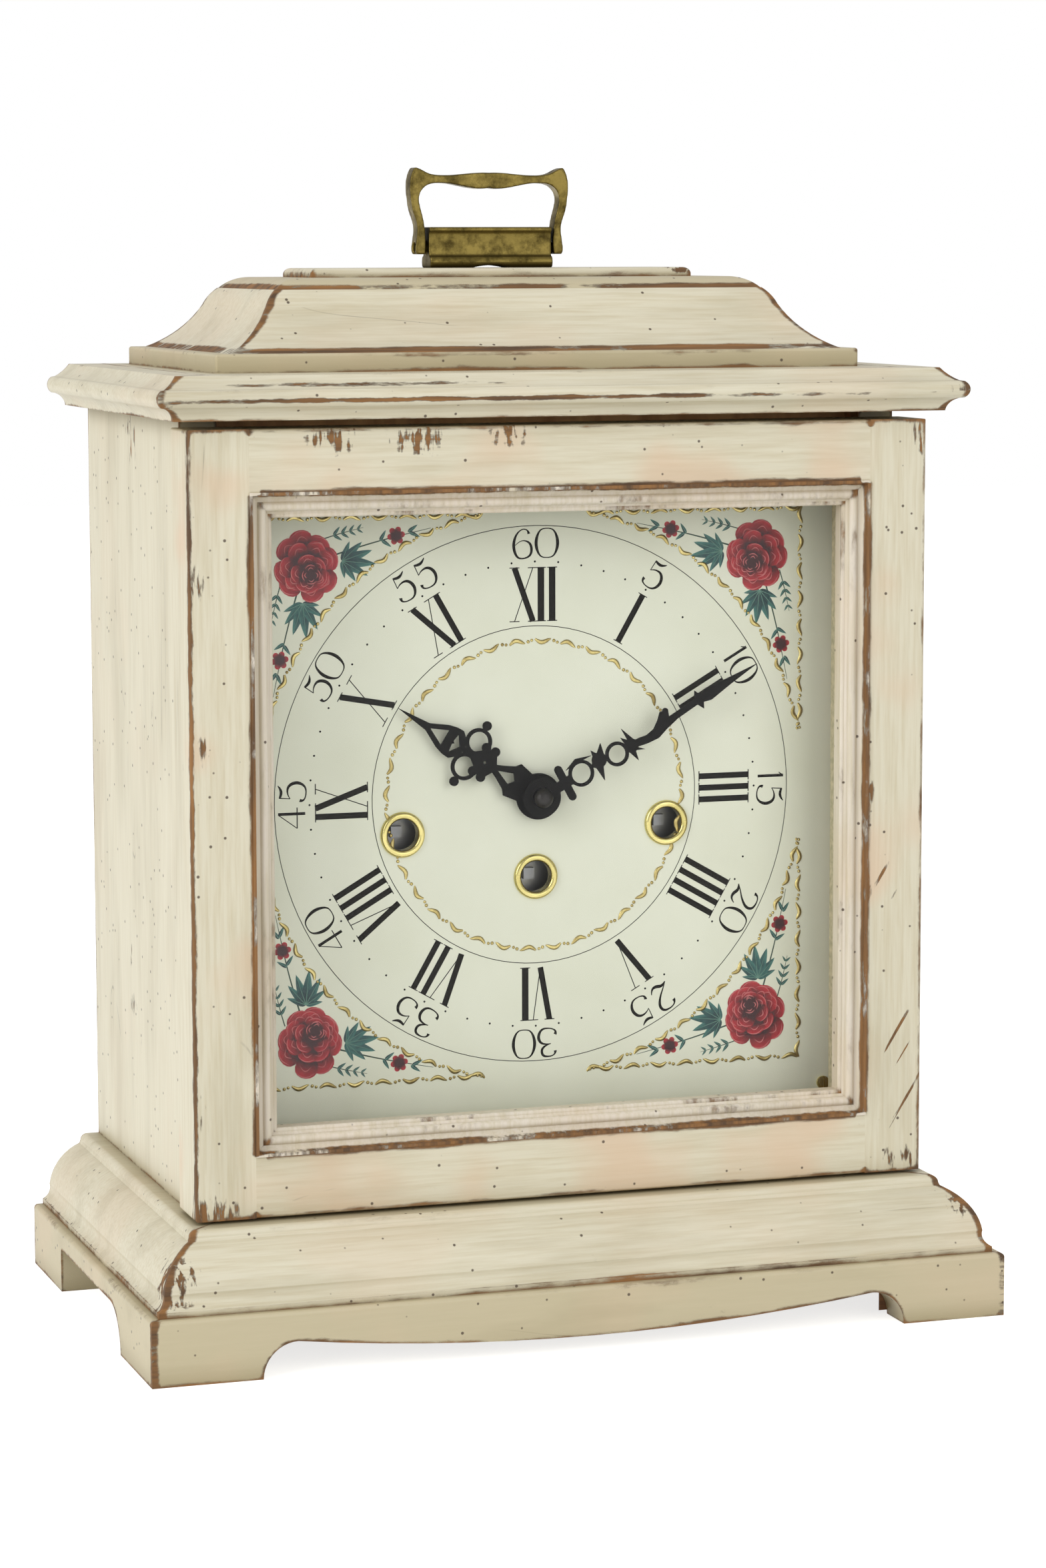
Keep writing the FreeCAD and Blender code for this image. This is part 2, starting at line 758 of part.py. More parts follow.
def handle_bracket():
    """A moulded bar with a swelling foot, a hollow neck and a rim, and a trunnion at each end."""
    foot = bracket_foot_depth / 2
    groove = bracket_groove_depth / 2
    neck = bracket_neck_depth / 2
    rim = bracket_rim_depth / 2
    z0 = pad_top_z
    band_z = z0 + bracket_foot_band
    rim_z = z0 + bracket_height - bracket_rim_band
    top_z = z0 + bracket_height
    foot_toe = (foot + groove) / 2
    path = [(0, z0), (foot_toe, z0), ((foot, z0 + bracket_foot_band / 2), (foot_toe, band_z)),
            (groove, band_z), ((neck, (band_z + rim_z) / 2), (groove, rim_z)), (rim, rim_z), (rim, top_z),
            (0, top_z)]
    half = bracket_length / 2
    back = prism("yz", -half, bracket_length, shifted(path, 1, bell_middle_y, 0))
    front = back.mirror(V(0, bell_middle_y, 0), V(0, 1, 0))
    arch_half = bracket_arch_width / 2
    arch = [(-arch_half, z0), ((0, z0 + bracket_arch_height), (arch_half, z0))]
    body = joined([front, back]).cut(prism("xz", bell_middle_y - foot - overrun, 2 * (foot + overrun), arch))
    reach = half + trunnion_reach
    body = joined([body, rod_x(trunnion_radius, bell_middle_y, pivot_z, -reach, reach)])
    for x in handle_screw_places():
        body = body.cut(rod_z(handle_screw_radius, x, bell_middle_y, z0 - overrun, z0 + bracket_height / 2))
    return body


def bail_point(share, y):
    return V(share[0] * bail_half_width, y, pivot_z + share[1] * bail_height)


def curve_edge(shares, y):
    """A smooth edge through points given as shares of the bail's half width and height."""
    curve = Part.BSplineCurve()
    curve.interpolate([bail_point(share, y) for share in shares])
    return curve.toShape()


def handle_bail():
    y = bell_middle_y - bail_depth / 2
    across = V(0, bail_depth, 0)
    foot = Part.makeLine(bail_point(bail_outer_shares[-1], y), bail_point(bail_inner_shares[0], y))
    middle = Part.makeLine(bail_point(bail_inner_shares[-1], y), bail_point(bail_top_shares[0], y))
    edges = [curve_edge(bail_top_shares, y), curve_edge(bail_outer_shares, y), foot,
             curve_edge(bail_inner_shares, y), middle]
    half = Part.Face(Part.Wire(edges)).extrude(across)
    bail = joined([half, mirror_x(half)])
    hole = rod_x(trunnion_radius + running_clearance, bell_middle_y, pivot_z, -bail_half_width,
                 bail_half_width)
    return bail.cut(hole)


def handle_screws():
    """Two screws put up through the lid and the pad into the bracket."""
    low = ogee_top_z - handle_screw_head
    screws = []
    for x in handle_screw_places():
        shank = rod_z(handle_screw_radius, x, bell_middle_y, low, pad_top_z + bracket_height / 2)
        head = rod_z(handle_screw_head_radius, x, bell_middle_y, low, ogee_top_z)
        screws.append(joined([shank, head]))
    return group(screws)


# Front door

def soften(shape, radius, keep):
    edges = [e for e in shape.Edges if keep(e.BoundBox)]
    return shape.makeFillet(radius, edges) if edges else shape


def flat_at(low, high, value):
    return abs(low - value) < hair and abs(high - value) < hair


def door_stile_left():
    stile = box(-half_door, -half_frame, door_face_y, door_back_y, door_bottom_z, door_top_z)

    def outer(b):
        beside = flat_at(b.XMin, b.XMax, -half_door)
        return beside and (flat_at(b.YMin, b.YMax, door_face_y) or b.YMax - b.YMin > hair)
    return soften(stile, frame_edge_round, outer)


def door_stile_right():
    stile = mirror_x(door_stile_left())
    for z in front_hinge_levels():
        stile = stile.cut(box(half_door - hinge_leaf_width, half_door + overrun, door_back_y - hinge_leaf,
                              door_back_y + overrun, z, z + hinge_height))
    return stile


def door_rail(z0):
    return box(-half_frame, half_frame, door_face_y, door_back_y, z0, z0 + frame_member_width)


def face_edge(b, z):
    """Whether an edge is the long front one at this height."""
    return flat_at(b.ZMin, b.ZMax, z) and flat_at(b.YMin, b.YMax, door_face_y)


def door_rail_top():
    rail = door_rail(door_top_z - frame_member_width)
    return soften(rail, frame_edge_round, lambda b: face_edge(b, door_top_z))


def door_rail_bottom():
    rail = door_rail(door_bottom_z)
    return soften(rail, frame_edge_round, lambda b: face_edge(b, door_bottom_z))


def moulding_profile():
    """Setback from the frame's inner edge, and depth behind the door's face."""
    rim_share = (0.12, -moulding_raise / moulding_lip_depth)
    cove_share = (0.38, 0.46)
    crown_share = (0.56, 0.3)
    bead_share = (0.74, 0.62)
    quirk_share = (0.84, 0.72)
    lip_share = (0.92, 0.72)
    hollow_share = (0.2, 0.3)

    def at(share):
        return share[0] * moulding_width, share[1] * moulding_lip_depth

    rim = at(rim_share)
    lip = (moulding_width, moulding_lip_depth)
    return [(0, moulding_depth), (0, rim[1]), rim, (at(hollow_share), at(cove_share)),
            (at(crown_share), at(bead_share)), at(quirk_share), (at(lip_share), lip),
            (moulding_width, moulding_depth)]


def swapped(path):
    """The same profile with its two directions changed over."""
    turned = []
    for step in path:
        if isinstance(step[0], tuple):
            turned.append(tuple((b, a) for a, b in step))
        else:
            turned.append((step[1], step[0]))
    return turned


def door_moulding():
    """Four mitred strips round the glass."""
    half = half_frame
    inner = half - moulding_width
    z0 = door_bottom_z + frame_member_width
    z1 = door_top_z - frame_member_width
    level = door_face_y - overrun
    depth = moulding_depth + 2 * overrun
    profile = moulding_profile()
    upright = prism("xy", z0, z1 - z0, shifted(profile, 1, -half, door_face_y))
    left_plan = [(-half, z0), (-inner, z0 + moulding_width), (-inner, z1 - moulding_width), (-half, z1)]
    left = upright.common(prism("xz", level, depth, left_plan))
    flat = prism("yz", -half, 2 * half, shifted(swapped(profile), 1, door_face_y, z0))
    low_plan = [(-half, z0), (half, z0), (inner, z0 + moulding_width), (-inner, z0 + moulding_width)]
    low = flat.common(prism("xz", level, depth, low_plan))
    high = low.mirror(V(0, 0, (z0 + z1) / 2), V(0, 0, 1))
    return group([left, mirror_x(left), low, high])


def door_glass():
    half = half_frame - fit_gap
    z0 = door_bottom_z + frame_member_width + fit_gap
    z1 = door_top_z - frame_member_width - fit_gap
    y0 = door_face_y + moulding_depth
    return box(-half, half, y0, y0 + glass_thickness, z0, z1)


def glass_beads():
    half = half_frame
    z0 = door_bottom_z + frame_member_width
    z1 = door_top_z - frame_member_width
    y0 = door_face_y + moulding_depth + glass_thickness
    y1 = door_back_y - bead_strip / 2
    side = box(-half, -half + bead_strip, y0, y1, z0, z1)
    low = box(-half + bead_strip, half - bead_strip, y0, y1, z0, z0 + bead_strip)
    return group([side, mirror_x(side), low, low.mirror(V(0, 0, (z0 + z1) / 2), V(0, 0, 1))])


# Hinges

def front_hinge_levels():
    return [door_bottom_z + hinge_inset, door_top_z - hinge_inset - hinge_height]


def back_hinge_levels():
    return [base_top_z + hinge_inset, case_top_z - hinge_inset - hinge_height]


def knuckles(x, y, z, ends):
    """The two end knuckles of the case leaf, or the middle one of the door leaf."""
    third = hinge_height / 3
    if ends:
        spans = [(z, z + third - knuckle_gap), (z + 2 * third + knuckle_gap, z + hinge_height)]
        return [rod_z(hinge_barrel_radius, x, y, low, high) for low, high in spans]
    hole = rod_z(hinge_pin_radius + running_clearance, x, y, z, z + hinge_height)
    return [rod_z(hinge_barrel_radius, x, y, z + third, z + 2 * third).cut(hole)]


def hinge_pin(x, y, z):
    pin = rod_z(hinge_pin_radius, x, y, z, z + hinge_height)
    head = rod_z(pin_head_radius, x, y, z + hinge_height, z + hinge_height + pin_head_height)
    return [pin, head]


def fixed_leaf(leaf, x, y, z):
    """A leaf with the two end knuckles and the pin, cut away beside the other leaf's knuckle."""
    third = hinge_height / 3
    clear = hinge_barrel_radius + knuckle_gap
    away = rod_z(clear, x, y, z + third - knuckle_gap, z + 2 * third + knuckle_gap)
    return joined([leaf.cut(away)] + knuckles(x, y, z, True) + hinge_pin(x, y, z))


def moving_leaf(leaf, x, y, z):
    """A leaf with the middle knuckle, cut away beside the end knuckles and bored for the pin."""
    third = hinge_height / 3
    clear = hinge_barrel_radius + knuckle_gap
    low = rod_z(clear, x, y, z - overrun, z + third)
    high = rod_z(clear, x, y, z + 2 * third, z + hinge_height + overrun)
    bore = rod_z(hinge_pin_radius + running_clearance, x, y, z - overrun, z + hinge_height + overrun)
    return joined([leaf.cut(low).cut(high)] + knuckles(x, y, z, False)).cut(bore)


def front_hinge_axis():
    return half_door + hinge_barrel_radius + fit_gap, (door_back_y + case_front_y) / 2


def back_hinge_axis():
    x = half_inner - hinge_leaf / 2 - hinge_barrel_radius
    return x, half_depth - hinge_barrel_radius - running_clearance


def case_hinge_leaves():
    leaves = []
    x, y = front_hinge_axis()
    for z in front_hinge_levels():
        leaf = box(half_door - hinge_leaf_width, x, case_front_y, case_front_y + hinge_leaf,
                   z, z + hinge_height)
        leaves.append(fixed_leaf(leaf, x, y, z))
    x, y = back_hinge_axis()
    for z in back_hinge_levels():
        leaf = box(half_inner - hinge_leaf, half_inner, y - hinge_leaf_width, y, z, z + hinge_height)
        leaves.append(fixed_leaf(leaf, x, y, z))
    return group(leaves)


def front_door_leaves():
    leaves = []
    x, y = front_hinge_axis()
    for z in front_hinge_levels():
        leaf = box(half_door - hinge_leaf_width, x, door_back_y - hinge_leaf, door_back_y, z,
                   z + hinge_height)
        leaves.append(moving_leaf(leaf, x, y, z))
    return group(leaves)


def back_door_leaves():
    leaves = []
    x, y = back_hinge_axis()
    face = half_depth - back_door_recess
    for z in back_hinge_levels():
        leaf = box(x - hinge_leaf_width, x, face, face + hinge_leaf, z, z + hinge_height)
        leaves.append(moving_leaf(leaf, x, y, z))
    return group(leaves)


def door_catch():
    z = dial_centre_z + dial_size / 4
    y = case_front_y
    return box(-half_inner, -half_inner + catch_depth, y, y + catch_depth, z, z + catch_width)


# Back door

def back_door():
    face = half_depth - back_door_recess
    half = half_inner - back_door_gap
    inner = face - back_door_thickness
    door = box(-half, half, inner, face, base_top_z + back_door_gap, case_top_z - back_door_gap)
    middle = (base_top_z + case_top_z) / 2
    row_pitch = slot_height + slot_pitch
    for row in (-1, 1):
        for i in range(slot_count):
            x = (i - (slot_count - 1) / 2) * slot_pitch
            z = middle + row * row_pitch / 2
            door = door.cut(slot_y(x, z, slot_width, slot_height, inner - overrun, face + overrun))
    x, z = button_place()
    hole = rod_y(button_post_radius + running_clearance, x, z, inner - overrun, face + overrun)
    return door.cut(hole)


def slot_y(x, z, width, height, y0, y1):
    r = width / 2
    reach = height / 2 - r
    over = ((x, z + reach + r), (x + r, z + reach))
    under = ((x, z - reach - r), (x - r, z - reach))
    path = [(x - r, z - reach), (x - r, z + reach), over, (x + r, z - reach), under]
    return prism("xz", y0, y1 - y0, path)


def button_place():
    return -half_inner + back_door_gap + button_inset, (base_top_z + case_top_z) / 2


def turn_button():
    """Stands upright while the door is free; a quarter turn puts its end into the case side."""
    x, z = button_place()
    face = half_depth - back_door_recess
    y0 = face + fit_gap
    y1 = y0 + button_thickness
    half_grip = button_grip_width / 2
    bar = slot_y(x, z, button_width, button_length, y0, y1)
    grip = box(x - half_grip, x + half_grip, y1, half_depth, z - button_width, z + button_width)
    post = rod_y(button_post_radius, x, z, face - back_door_thickness, y0)
    return joined([bar, grip, post])


# Dial

def dial_screw_places():
    reach = dial_size / 2 - dial_screw_inset
    return [(sx * reach, dial_centre_z + sz * reach) for sx in (-1, 1) for sz in (-1, 1)]


def winding_places():
    return [(-winding_spread, winding_z), (0, time_arbor_z), (winding_spread, winding_z)]


def dial_plate():
    half = dial_size / 2
    dial = box(-half, half, dial_face_y, dial_back_y, dial_centre_z - half, dial_centre_z + half)
    y0 = dial_face_y - overrun
    y1 = dial_back_y + overrun
    holes = [rod_y(dial_hole_radius, x, z, y0, y1) for x, z in winding_places()]
    holes += [rod_y(dial_screw_radius, x, z, y0, y1) for x, z in dial_screw_places()]
    holes.append(rod_y(hand_hole_radius, 0, dial_centre_z, y0, y1))
    holes.append(slot_y(lever_x, dial_centre_z, lever_slot_width, 2 * lever_slot_half_height, y0, y1))
    return dial.cut(joined(holes))


def dial_screws():
    screws = []
    for x, z in dial_screw_places():
        head = rod_y(dial_screw_head_radius, x, z, dial_face_y - dial_screw_head, dial_face_y)
        shank = rod_y(dial_screw_radius, x, z, dial_face_y - dial_screw_head, dial_back_y + dial_screw_length)
        screws.append(joined([head, shank]))
    return group(screws)


def grommet(x, z):
    """A turned brass ring: a rounded rim on the dial and a tube through it."""
    inner = grommet_inner_radius
    outer = grommet_outer_radius
    face = dial_face_y
    tube = dial_hole_radius
    crown = face - grommet_rim
    path = [(inner, face - grommet_rim / 2), (((inner + outer) / 2, crown), (outer, face)), (tube, face),
            (tube, dial_back_y + grommet_rim), (inner, dial_back_y + grommet_rim)]
    face_at = outline_face("xy", 0, path)
    ring = face_at.revolve(V(0, 0, 0), V(0, 1, 0), 360)
    ring.translate(V(x, 0, z))
    return ring


def winding_grommets():
    return group([grommet(x, z) for x, z in winding_places()])


def silent_lever():
    """A flat lever behind the dial, pivoted beside its slot, with a small knob in front."""
    y0 = dial_back_y + fit_gap
    y1 = y0 + lever_thickness
    middle = lever_x + lever_length / 2
    arm = slot_y(middle, dial_centre_z, lever_width, lever_length + lever_width, y0, y1)
    arm = turned_y(arm, middle, dial_centre_z, 90)
    knob_back = dial_face_y - grommet_rim / 2
    knob_front = dial_face_y - 2 * grommet_rim
    neck = rod_y(lever_neck_radius, lever_x, dial_centre_z, knob_back, y0)
    knob = rod_y(lever_knob_radius, lever_x, dial_centre_z, knob_front, knob_back)
    pivot_end = dial_back_y + 2 * lever_pocket_depth
    pivot = rod_y(lever_pivot_radius, lever_x + lever_length, dial_centre_z, y1, pivot_end)
    return joined([arm, neck, knob, pivot])


# Hands

def sawn(shares, length, y, depth):
    """A flat outline, given as shares of the length of a hand that points straight up."""
    path = [(a * length, dial_centre_z + u * length) for a, u in shares]
    return prism("xz", y, depth, path)


def hand_solids(disc_shares, ring_shares, outline_shares, length, y):
    t = hand_thickness
    z = dial_centre_z
    solids = [rod_y(r * length, a * length, z + u * length, y, y + t) for a, u, r in disc_shares]
    for a, u, outer, inner in ring_shares:
        ring = rod_y(outer * length, a * length, z + u * length, y, y + t)
        solids.append(ring.cut(rod_y(inner * length, a * length, z + u * length, y - t, y + 2 * t)))
    return solids + [sawn(shares, length, y, t) for shares in outline_shares]


def minute_hand():
    y = minute_hand_y
    solids = hand_solids(minute_disc_shares, minute_ring_shares, minute_outline_shares, minute_hand_length, y)
    boss = rod_y(minute_boss_radius, 0, dial_centre_z, y, y + hand_thickness)
    hand = joined([boss] + solids)
    bore = rod_y(arbor_radius, 0, dial_centre_z, y - hand_thickness, y + 2 * hand_thickness)
    return turned_y(hand.cut(bore), 0, dial_centre_z, minute_hand_angle)


def hour_hand():
    y = hour_hand_y
    half = joined(hand_solids(hour_disc_shares, hour_ring_shares, hour_outline_shares, hour_hand_length, y))
    for shares in hour_hole_shares:
        half = half.cut(sawn(shares, hour_hand_length, y - hand_thickness, 3 * hand_thickness))
    boss = rod_y(hour_boss_radius, 0, dial_centre_z, y, y + hand_thickness)
    hand = joined([boss, half, mirror_x(half)])
    bore = rod_y(hour_pipe_outer, 0, dial_centre_z, y - hand_thickness, y + 2 * hand_thickness)
    return turned_y(hand.cut(bore), 0, dial_centre_z, hour_hand_angle)


def hand_nut():
    """A domed brass cap pressed on the end of the cannon pinion."""
    front = minute_hand_y - nut_height
    shoulder = minute_hand_y - nut_height / 3
    dome_height = shoulder - front
    dome_radius = (nut_radius ** 2 + dome_height ** 2) / (2 * dome_height)
    ball = Part.makeSphere(dome_radius, V(0, front + dome_radius, dial_centre_z))
    dome = ball.common(rod_y(nut_radius, 0, dial_centre_z, front, shoulder))
    skirt = rod_y(nut_radius, 0, dial_centre_z, shoulder, minute_hand_y)
    bore = rod_y(arbor_radius, 0, dial_centre_z, minute_hand_y - nut_stub, minute_hand_y + overrun)
    return joined([skirt, dome]).cut(bore)


# Wheels and pinions

def polar(x, z, radius, bearing):
    """A point at a bearing clockwise from straight up, as seen from the front."""
    a = math.radians(bearing)
    return x + radius * math.sin(a), z + radius * math.cos(a)


def gear(teeth, module, x, z, bearing, y0, y1):
    """A toothed disc with one tooth along the bearing."""
    root = module * (teeth / 2 - tooth_root)
    tip = module * (teeth / 2 + tooth_tip)
    pitch = 360 / teeth
    root_share = 0.24
    tip_share = 0.09
    path = []
    for i in range(teeth):
        middle = bearing + i * pitch
        path.append(polar(x, z, root, middle - root_share * pitch))
        path.append(polar(x, z, tip, middle - tip_share * pitch))
        path.append(polar(x, z, tip, middle + tip_share * pitch))
        path.append(polar(x, z, root, middle + root_share * pitch))
    return prism("xz", y0, y1 - y0, path)


def spoked(disc, x, z, outer, y0, y1):
    """A disc with the openings between its spokes sawn out."""
    inner = wheel_hub_radius
    rim = outer - wheel_rim
    step = 360 / spoke_count
    inner_half = math.degrees(math.asin(spoke_width / 2 / inner))
    rim_half = math.degrees(math.asin(spoke_width / 2 / rim))
    for i in range(spoke_count):
        a = i * step
        b = a + step
        middle = (a + b) / 2
        path = [polar(x, z, inner, a + inner_half), polar(x, z, rim, a + rim_half),
                (polar(x, z, rim, middle), polar(x, z, rim, b - rim_half)),
                polar(x, z, inner, b - inner_half),
                (polar(x, z, inner, middle), polar(x, z, inner, a + inner_half))]
        disc = disc.cut(prism("xz", y0 - wheel_thickness, y1 - y0 + 2 * wheel_thickness, path))
    return disc


def toothed_wheel(teeth, module, x, z, bearing, y0, y1):
    root = module * (teeth / 2 - tooth_root)
    return spoked(gear(teeth, module, x, z, bearing, y0, y1), x, z, root, y0, y1)


def meshing_bearing(bearing_to_mate, teeth):
    """How a wheel stands so that a gap faces the mate's tooth."""
    return bearing_to_mate + 180 / teeth


def reach_between(teeth_a, teeth_b, module):
    return module * (teeth_a + teeth_b) / 2


def bearing_from(a, b):
    return math.degrees(math.atan2(b[0] - a[0], b[1] - a[1]))


def centre_place():
    return 0, dial_centre_z


def second_place():
    """Where the second arbor meshes with both the time barrel and the centre pinion."""
    near = reach_between(second_teeth, centre_pinion_teeth, second_module)
    far = reach_between(great_teeth, second_pinion_teeth, great_module)
    rise = (far ** 2 - near ** 2 - time_arbor_drop ** 2) / (2 * time_arbor_drop)
    return math.sqrt(near ** 2 - rise ** 2), dial_centre_z + rise


def third_place():
    reach = reach_between(centre_teeth, third_pinion_teeth, second_module)
    return polar(0, dial_centre_z, reach, third_arbor_bearing)


def escape_place():
    x, z = third_place()
    return polar(x, z, reach_between(third_teeth, escape_pinion_teeth, third_module), escape_arbor_bearing)


def balance_place():
    x, z = escape_place()
    return polar(x, z, balance_offset, balance_bearing)


def minute_wheel_place():
    reach = reach_between(cannon_teeth, minute_wheel_teeth, motion_module)
    return polar(0, dial_centre_z, reach, minute_arbor_bearing)


def drum_place():
    reach = reach_between(great_teeth, drum_wheel_teeth, great_module)
    return polar(winding_spread, winding_z, reach, drum_arbor_bearing)


def hammer_place():
    return hammer_arbor_x, hammer_arbor_z


def pillar_places():
    side = plate_width / 2 - pillar_inset
    top = plate_height / 2 - pillar_inset
    middle = dial_centre_z - plate_drop
    return [(sx * side, middle + sz * top) for sx in (-1, 1) for sz in (-1, 1)]


# Movement frame

def plate(y0, bores):
    half = plate_width / 2
    middle = dial_centre_z - plate_drop
    sheet = box(-half, half, y0, y0 + plate_thickness, middle - plate_height / 2, middle + plate_height / 2)
    studs = [(x, z, pillar_stud_radius) for x, z in pillar_places()]
    holes = [rod_y(r, x, z, y0 - overrun, y0 + plate_thickness + overrun) for x, z, r in bores + studs]
    return sheet.cut(joined(holes))


def bore_at(where, radius):
    return where[0], where[1], radius + running_clearance


def front_plate():
    bores = [bore_at(where, winding_arbor_radius) for where in winding_places()]
    bores.append(bore_at(centre_place(), arbor_radius))
    bores += [bore_at(where, pivot_radius) for where in (second_place(), third_place(), escape_place())]
    bores.append(bore_at(drum_place(), drum_arbor_radius))
    bores.append(bore_at(hammer_place(), hammer_arbor_radius))
    x, z = minute_wheel_place()
    stud = rod_y(stud_radius, x, z, hour_wheel_y - fit_gap, board_back_y)
    return joined([plate(board_back_y, bores), stud])


def back_plate():
    bores = [bore_at(where, winding_pivot_radius) for where in winding_places()]
    bores += [bore_at(where, pivot_radius) for where in (centre_place(), second_place(), third_place())]
    bores.append(bore_at(escape_place(), slim_arbor_radius))
    bores.append(bore_at(balance_place(), balance_pivot_radius))
    bores.append(bore_at(drum_place(), drum_arbor_radius))
    bores.append(bore_at(hammer_place(), hammer_arbor_radius))
    return plate(back_plate_y, bores)


def plate_pillars():
    """Turned pillars between the plates, let into the dial board in front and nutted behind."""
    pillars = []
    for x, z in pillar_places():
        body = rod_y(pillar_radius, x, z, front_plate_back_y, back_plate_y)
        end_y = back_plate_back_y + pillar_nut_height
        stud = rod_y(pillar_stud_radius, x, z, board_back_y - pillar_stud_length, end_y)
        nut = rod_y(pillar_nut_radius, x, z, back_plate_back_y, end_y)
        pillars.append(joined([body, stud, nut]))
    return group(pillars)


def arbor(where, radius, pivot):
    """A shaft between the plates with a thinner pivot through each."""
    x, z = where
    body = rod_y(radius, x, z, front_plate_back_y + end_shake, back_plate_y - end_shake)
    pivots = rod_y(pivot, x, z, board_back_y, back_plate_back_y)
    return [body, pivots]


# Going train

def barrel(where, bearing):
    """A great wheel on a spring barrel, hollow, with a slot in its cap, turning on the winding arbor."""
    x, z = where
    y0 = great_wheel_y
    y1 = y0 + great_wheel_thickness
    y2 = y1 + barrel_length
    wheel = gear(great_teeth, great_module, x, z, bearing, y0, y1)
    drum = rod_y(barrel_radius, x, z, y1, y2)
    hollow = rod_y(barrel_radius - barrel_wall, x, z, y1 + barrel_wall, y2 - barrel_wall)
    bore = rod_y(winding_arbor_radius + running_clearance, x, z, y0 - overrun, y2 + overrun)
    slot_share = 0.6
    slot = rod_y(barrel_slot_radius, x, z + slot_share * barrel_radius, y2 - 2 * barrel_wall, y2 + overrun)
    return joined([wheel, drum]).cut(hollow).cut(bore).cut(slot)


def time_barrel():
    where = (0, time_arbor_z)
    return barrel(where, bearing_from(where, second_place()))


def strike_barrel():
    return barrel((-winding_spread, winding_z), 0)


def chime_barrel():
    return barrel((winding_spread, winding_z), drum_arbor_bearing)


def ratchet(x, z, y0):
    step = 360 / ratchet_teeth
    path = []
    for i in range(ratchet_teeth):
        path.append(polar(x, z, ratchet_radius - ratchet_depth, i * step))
        path.append(polar(x, z, ratchet_radius, i * step))
    return prism("xz", y0, ratchet_thickness, path)


def winding_arbor(where):
    """A barrel's arbor: square toward the key, ratchet before the plate, collars beside the barrel."""
    x, z = where
    half = winding_square / 2
    ratchet_y = board_back_y - ratchet_gap - ratchet_thickness
    rear_collar = great_wheel_y + great_wheel_thickness + barrel_length + fit_gap
    square = box(x - half, x + half, winding_end_y, ratchet_y, z - half, z + half)
    body = rod_y(winding_arbor_radius, x, z, ratchet_y, back_plate_y - end_shake)
    pivot = rod_y(winding_pivot_radius, x, z, back_plate_y - end_shake, back_plate_back_y + end_shake)
    front_collar = great_wheel_y - fit_gap
    collars = [rod_y(collar_radius, x, z, front_collar - collar_height / 2, front_collar),
               rod_y(collar_radius, x, z, rear_collar, rear_collar + collar_height)]
    return joined([square, ratchet(x, z, ratchet_y), body, pivot] + collars)


def time_winding_arbor():
    return winding_arbor(winding_places()[1])


def strike_winding_arbor():
    return winding_arbor(winding_places()[0])


def chime_winding_arbor():
    return winding_arbor(winding_places()[2])


def clicks():
    """One click beside each ratchet, on a foot that stands on the front plate."""
    y1 = board_back_y - ratchet_gap
    y0 = y1 - ratchet_thickness
    parts = []
    for x, z in winding_places():
        path = [polar(x, z, share * ratchet_radius, bearing) for share, bearing in click_outline_shares]
        px, pz = polar(x, z, click_pivot_share[0] * ratchet_radius, click_pivot_share[1])
        boss = rod_y(click_pivot_radius, px, pz, y0 - ratchet_gap, board_back_y)
        parts.append(joined([prism("xz", y0, ratchet_thickness, path), boss]))
    return group(parts)


def centre_wheel():
    """Centre arbor with its pinion in front, its wheel behind, and a long pivot under the hands."""
    where = centre_place()
    x, z = where
    to_second = bearing_from(where, second_place())
    pinion = gear(centre_pinion_teeth, second_module, x, z, meshing_bearing(to_second, centre_pinion_teeth),
                  second_wheel_y - fit_gap, second_wheel_y + wheel_thickness + fit_gap)
    wheel = toothed_wheel(centre_teeth, second_module, x, z, third_arbor_bearing, centre_wheel_y,
                          centre_wheel_y + wheel_thickness)
    nose = rod_y(arbor_radius, x, z, centre_nose_y, front_plate_back_y + end_shake)
    body = rod_y(arbor_radius, x, z, front_plate_back_y + end_shake, back_plate_y - end_shake)
    tail = rod_y(pivot_radius, x, z, back_plate_y - end_shake, back_plate_back_y)
    return joined([pinion, wheel, nose, body, tail])


def second_wheel():
    where = second_place()
    x, z = where
    to_barrel = bearing_from(where, (0, time_arbor_z))
    pinion = gear(second_pinion_teeth, great_module, x, z, meshing_bearing(to_barrel, second_pinion_teeth),
                  great_wheel_y - fit_gap, great_wheel_y + great_wheel_thickness + fit_gap)
    to_centre = bearing_from(where, centre_place())
    wheel = toothed_wheel(second_teeth, second_module, x, z, to_centre, second_wheel_y,
                          second_wheel_y + wheel_thickness)
    return joined([pinion, wheel] + arbor(where, arbor_radius, pivot_radius))


def third_wheel():
    where = third_place()
    x, z = where
    to_centre = bearing_from(where, centre_place())
    pinion = gear(third_pinion_teeth, second_module, x, z, meshing_bearing(to_centre, third_pinion_teeth),
                  centre_wheel_y - fit_gap, centre_wheel_y + wheel_thickness + fit_gap)
    wheel = toothed_wheel(third_teeth, third_module, x, z, escape_arbor_bearing, third_wheel_y,
                          third_wheel_y + wheel_thickness)
    return joined([pinion, wheel] + arbor(where, slim_arbor_radius, pivot_radius))


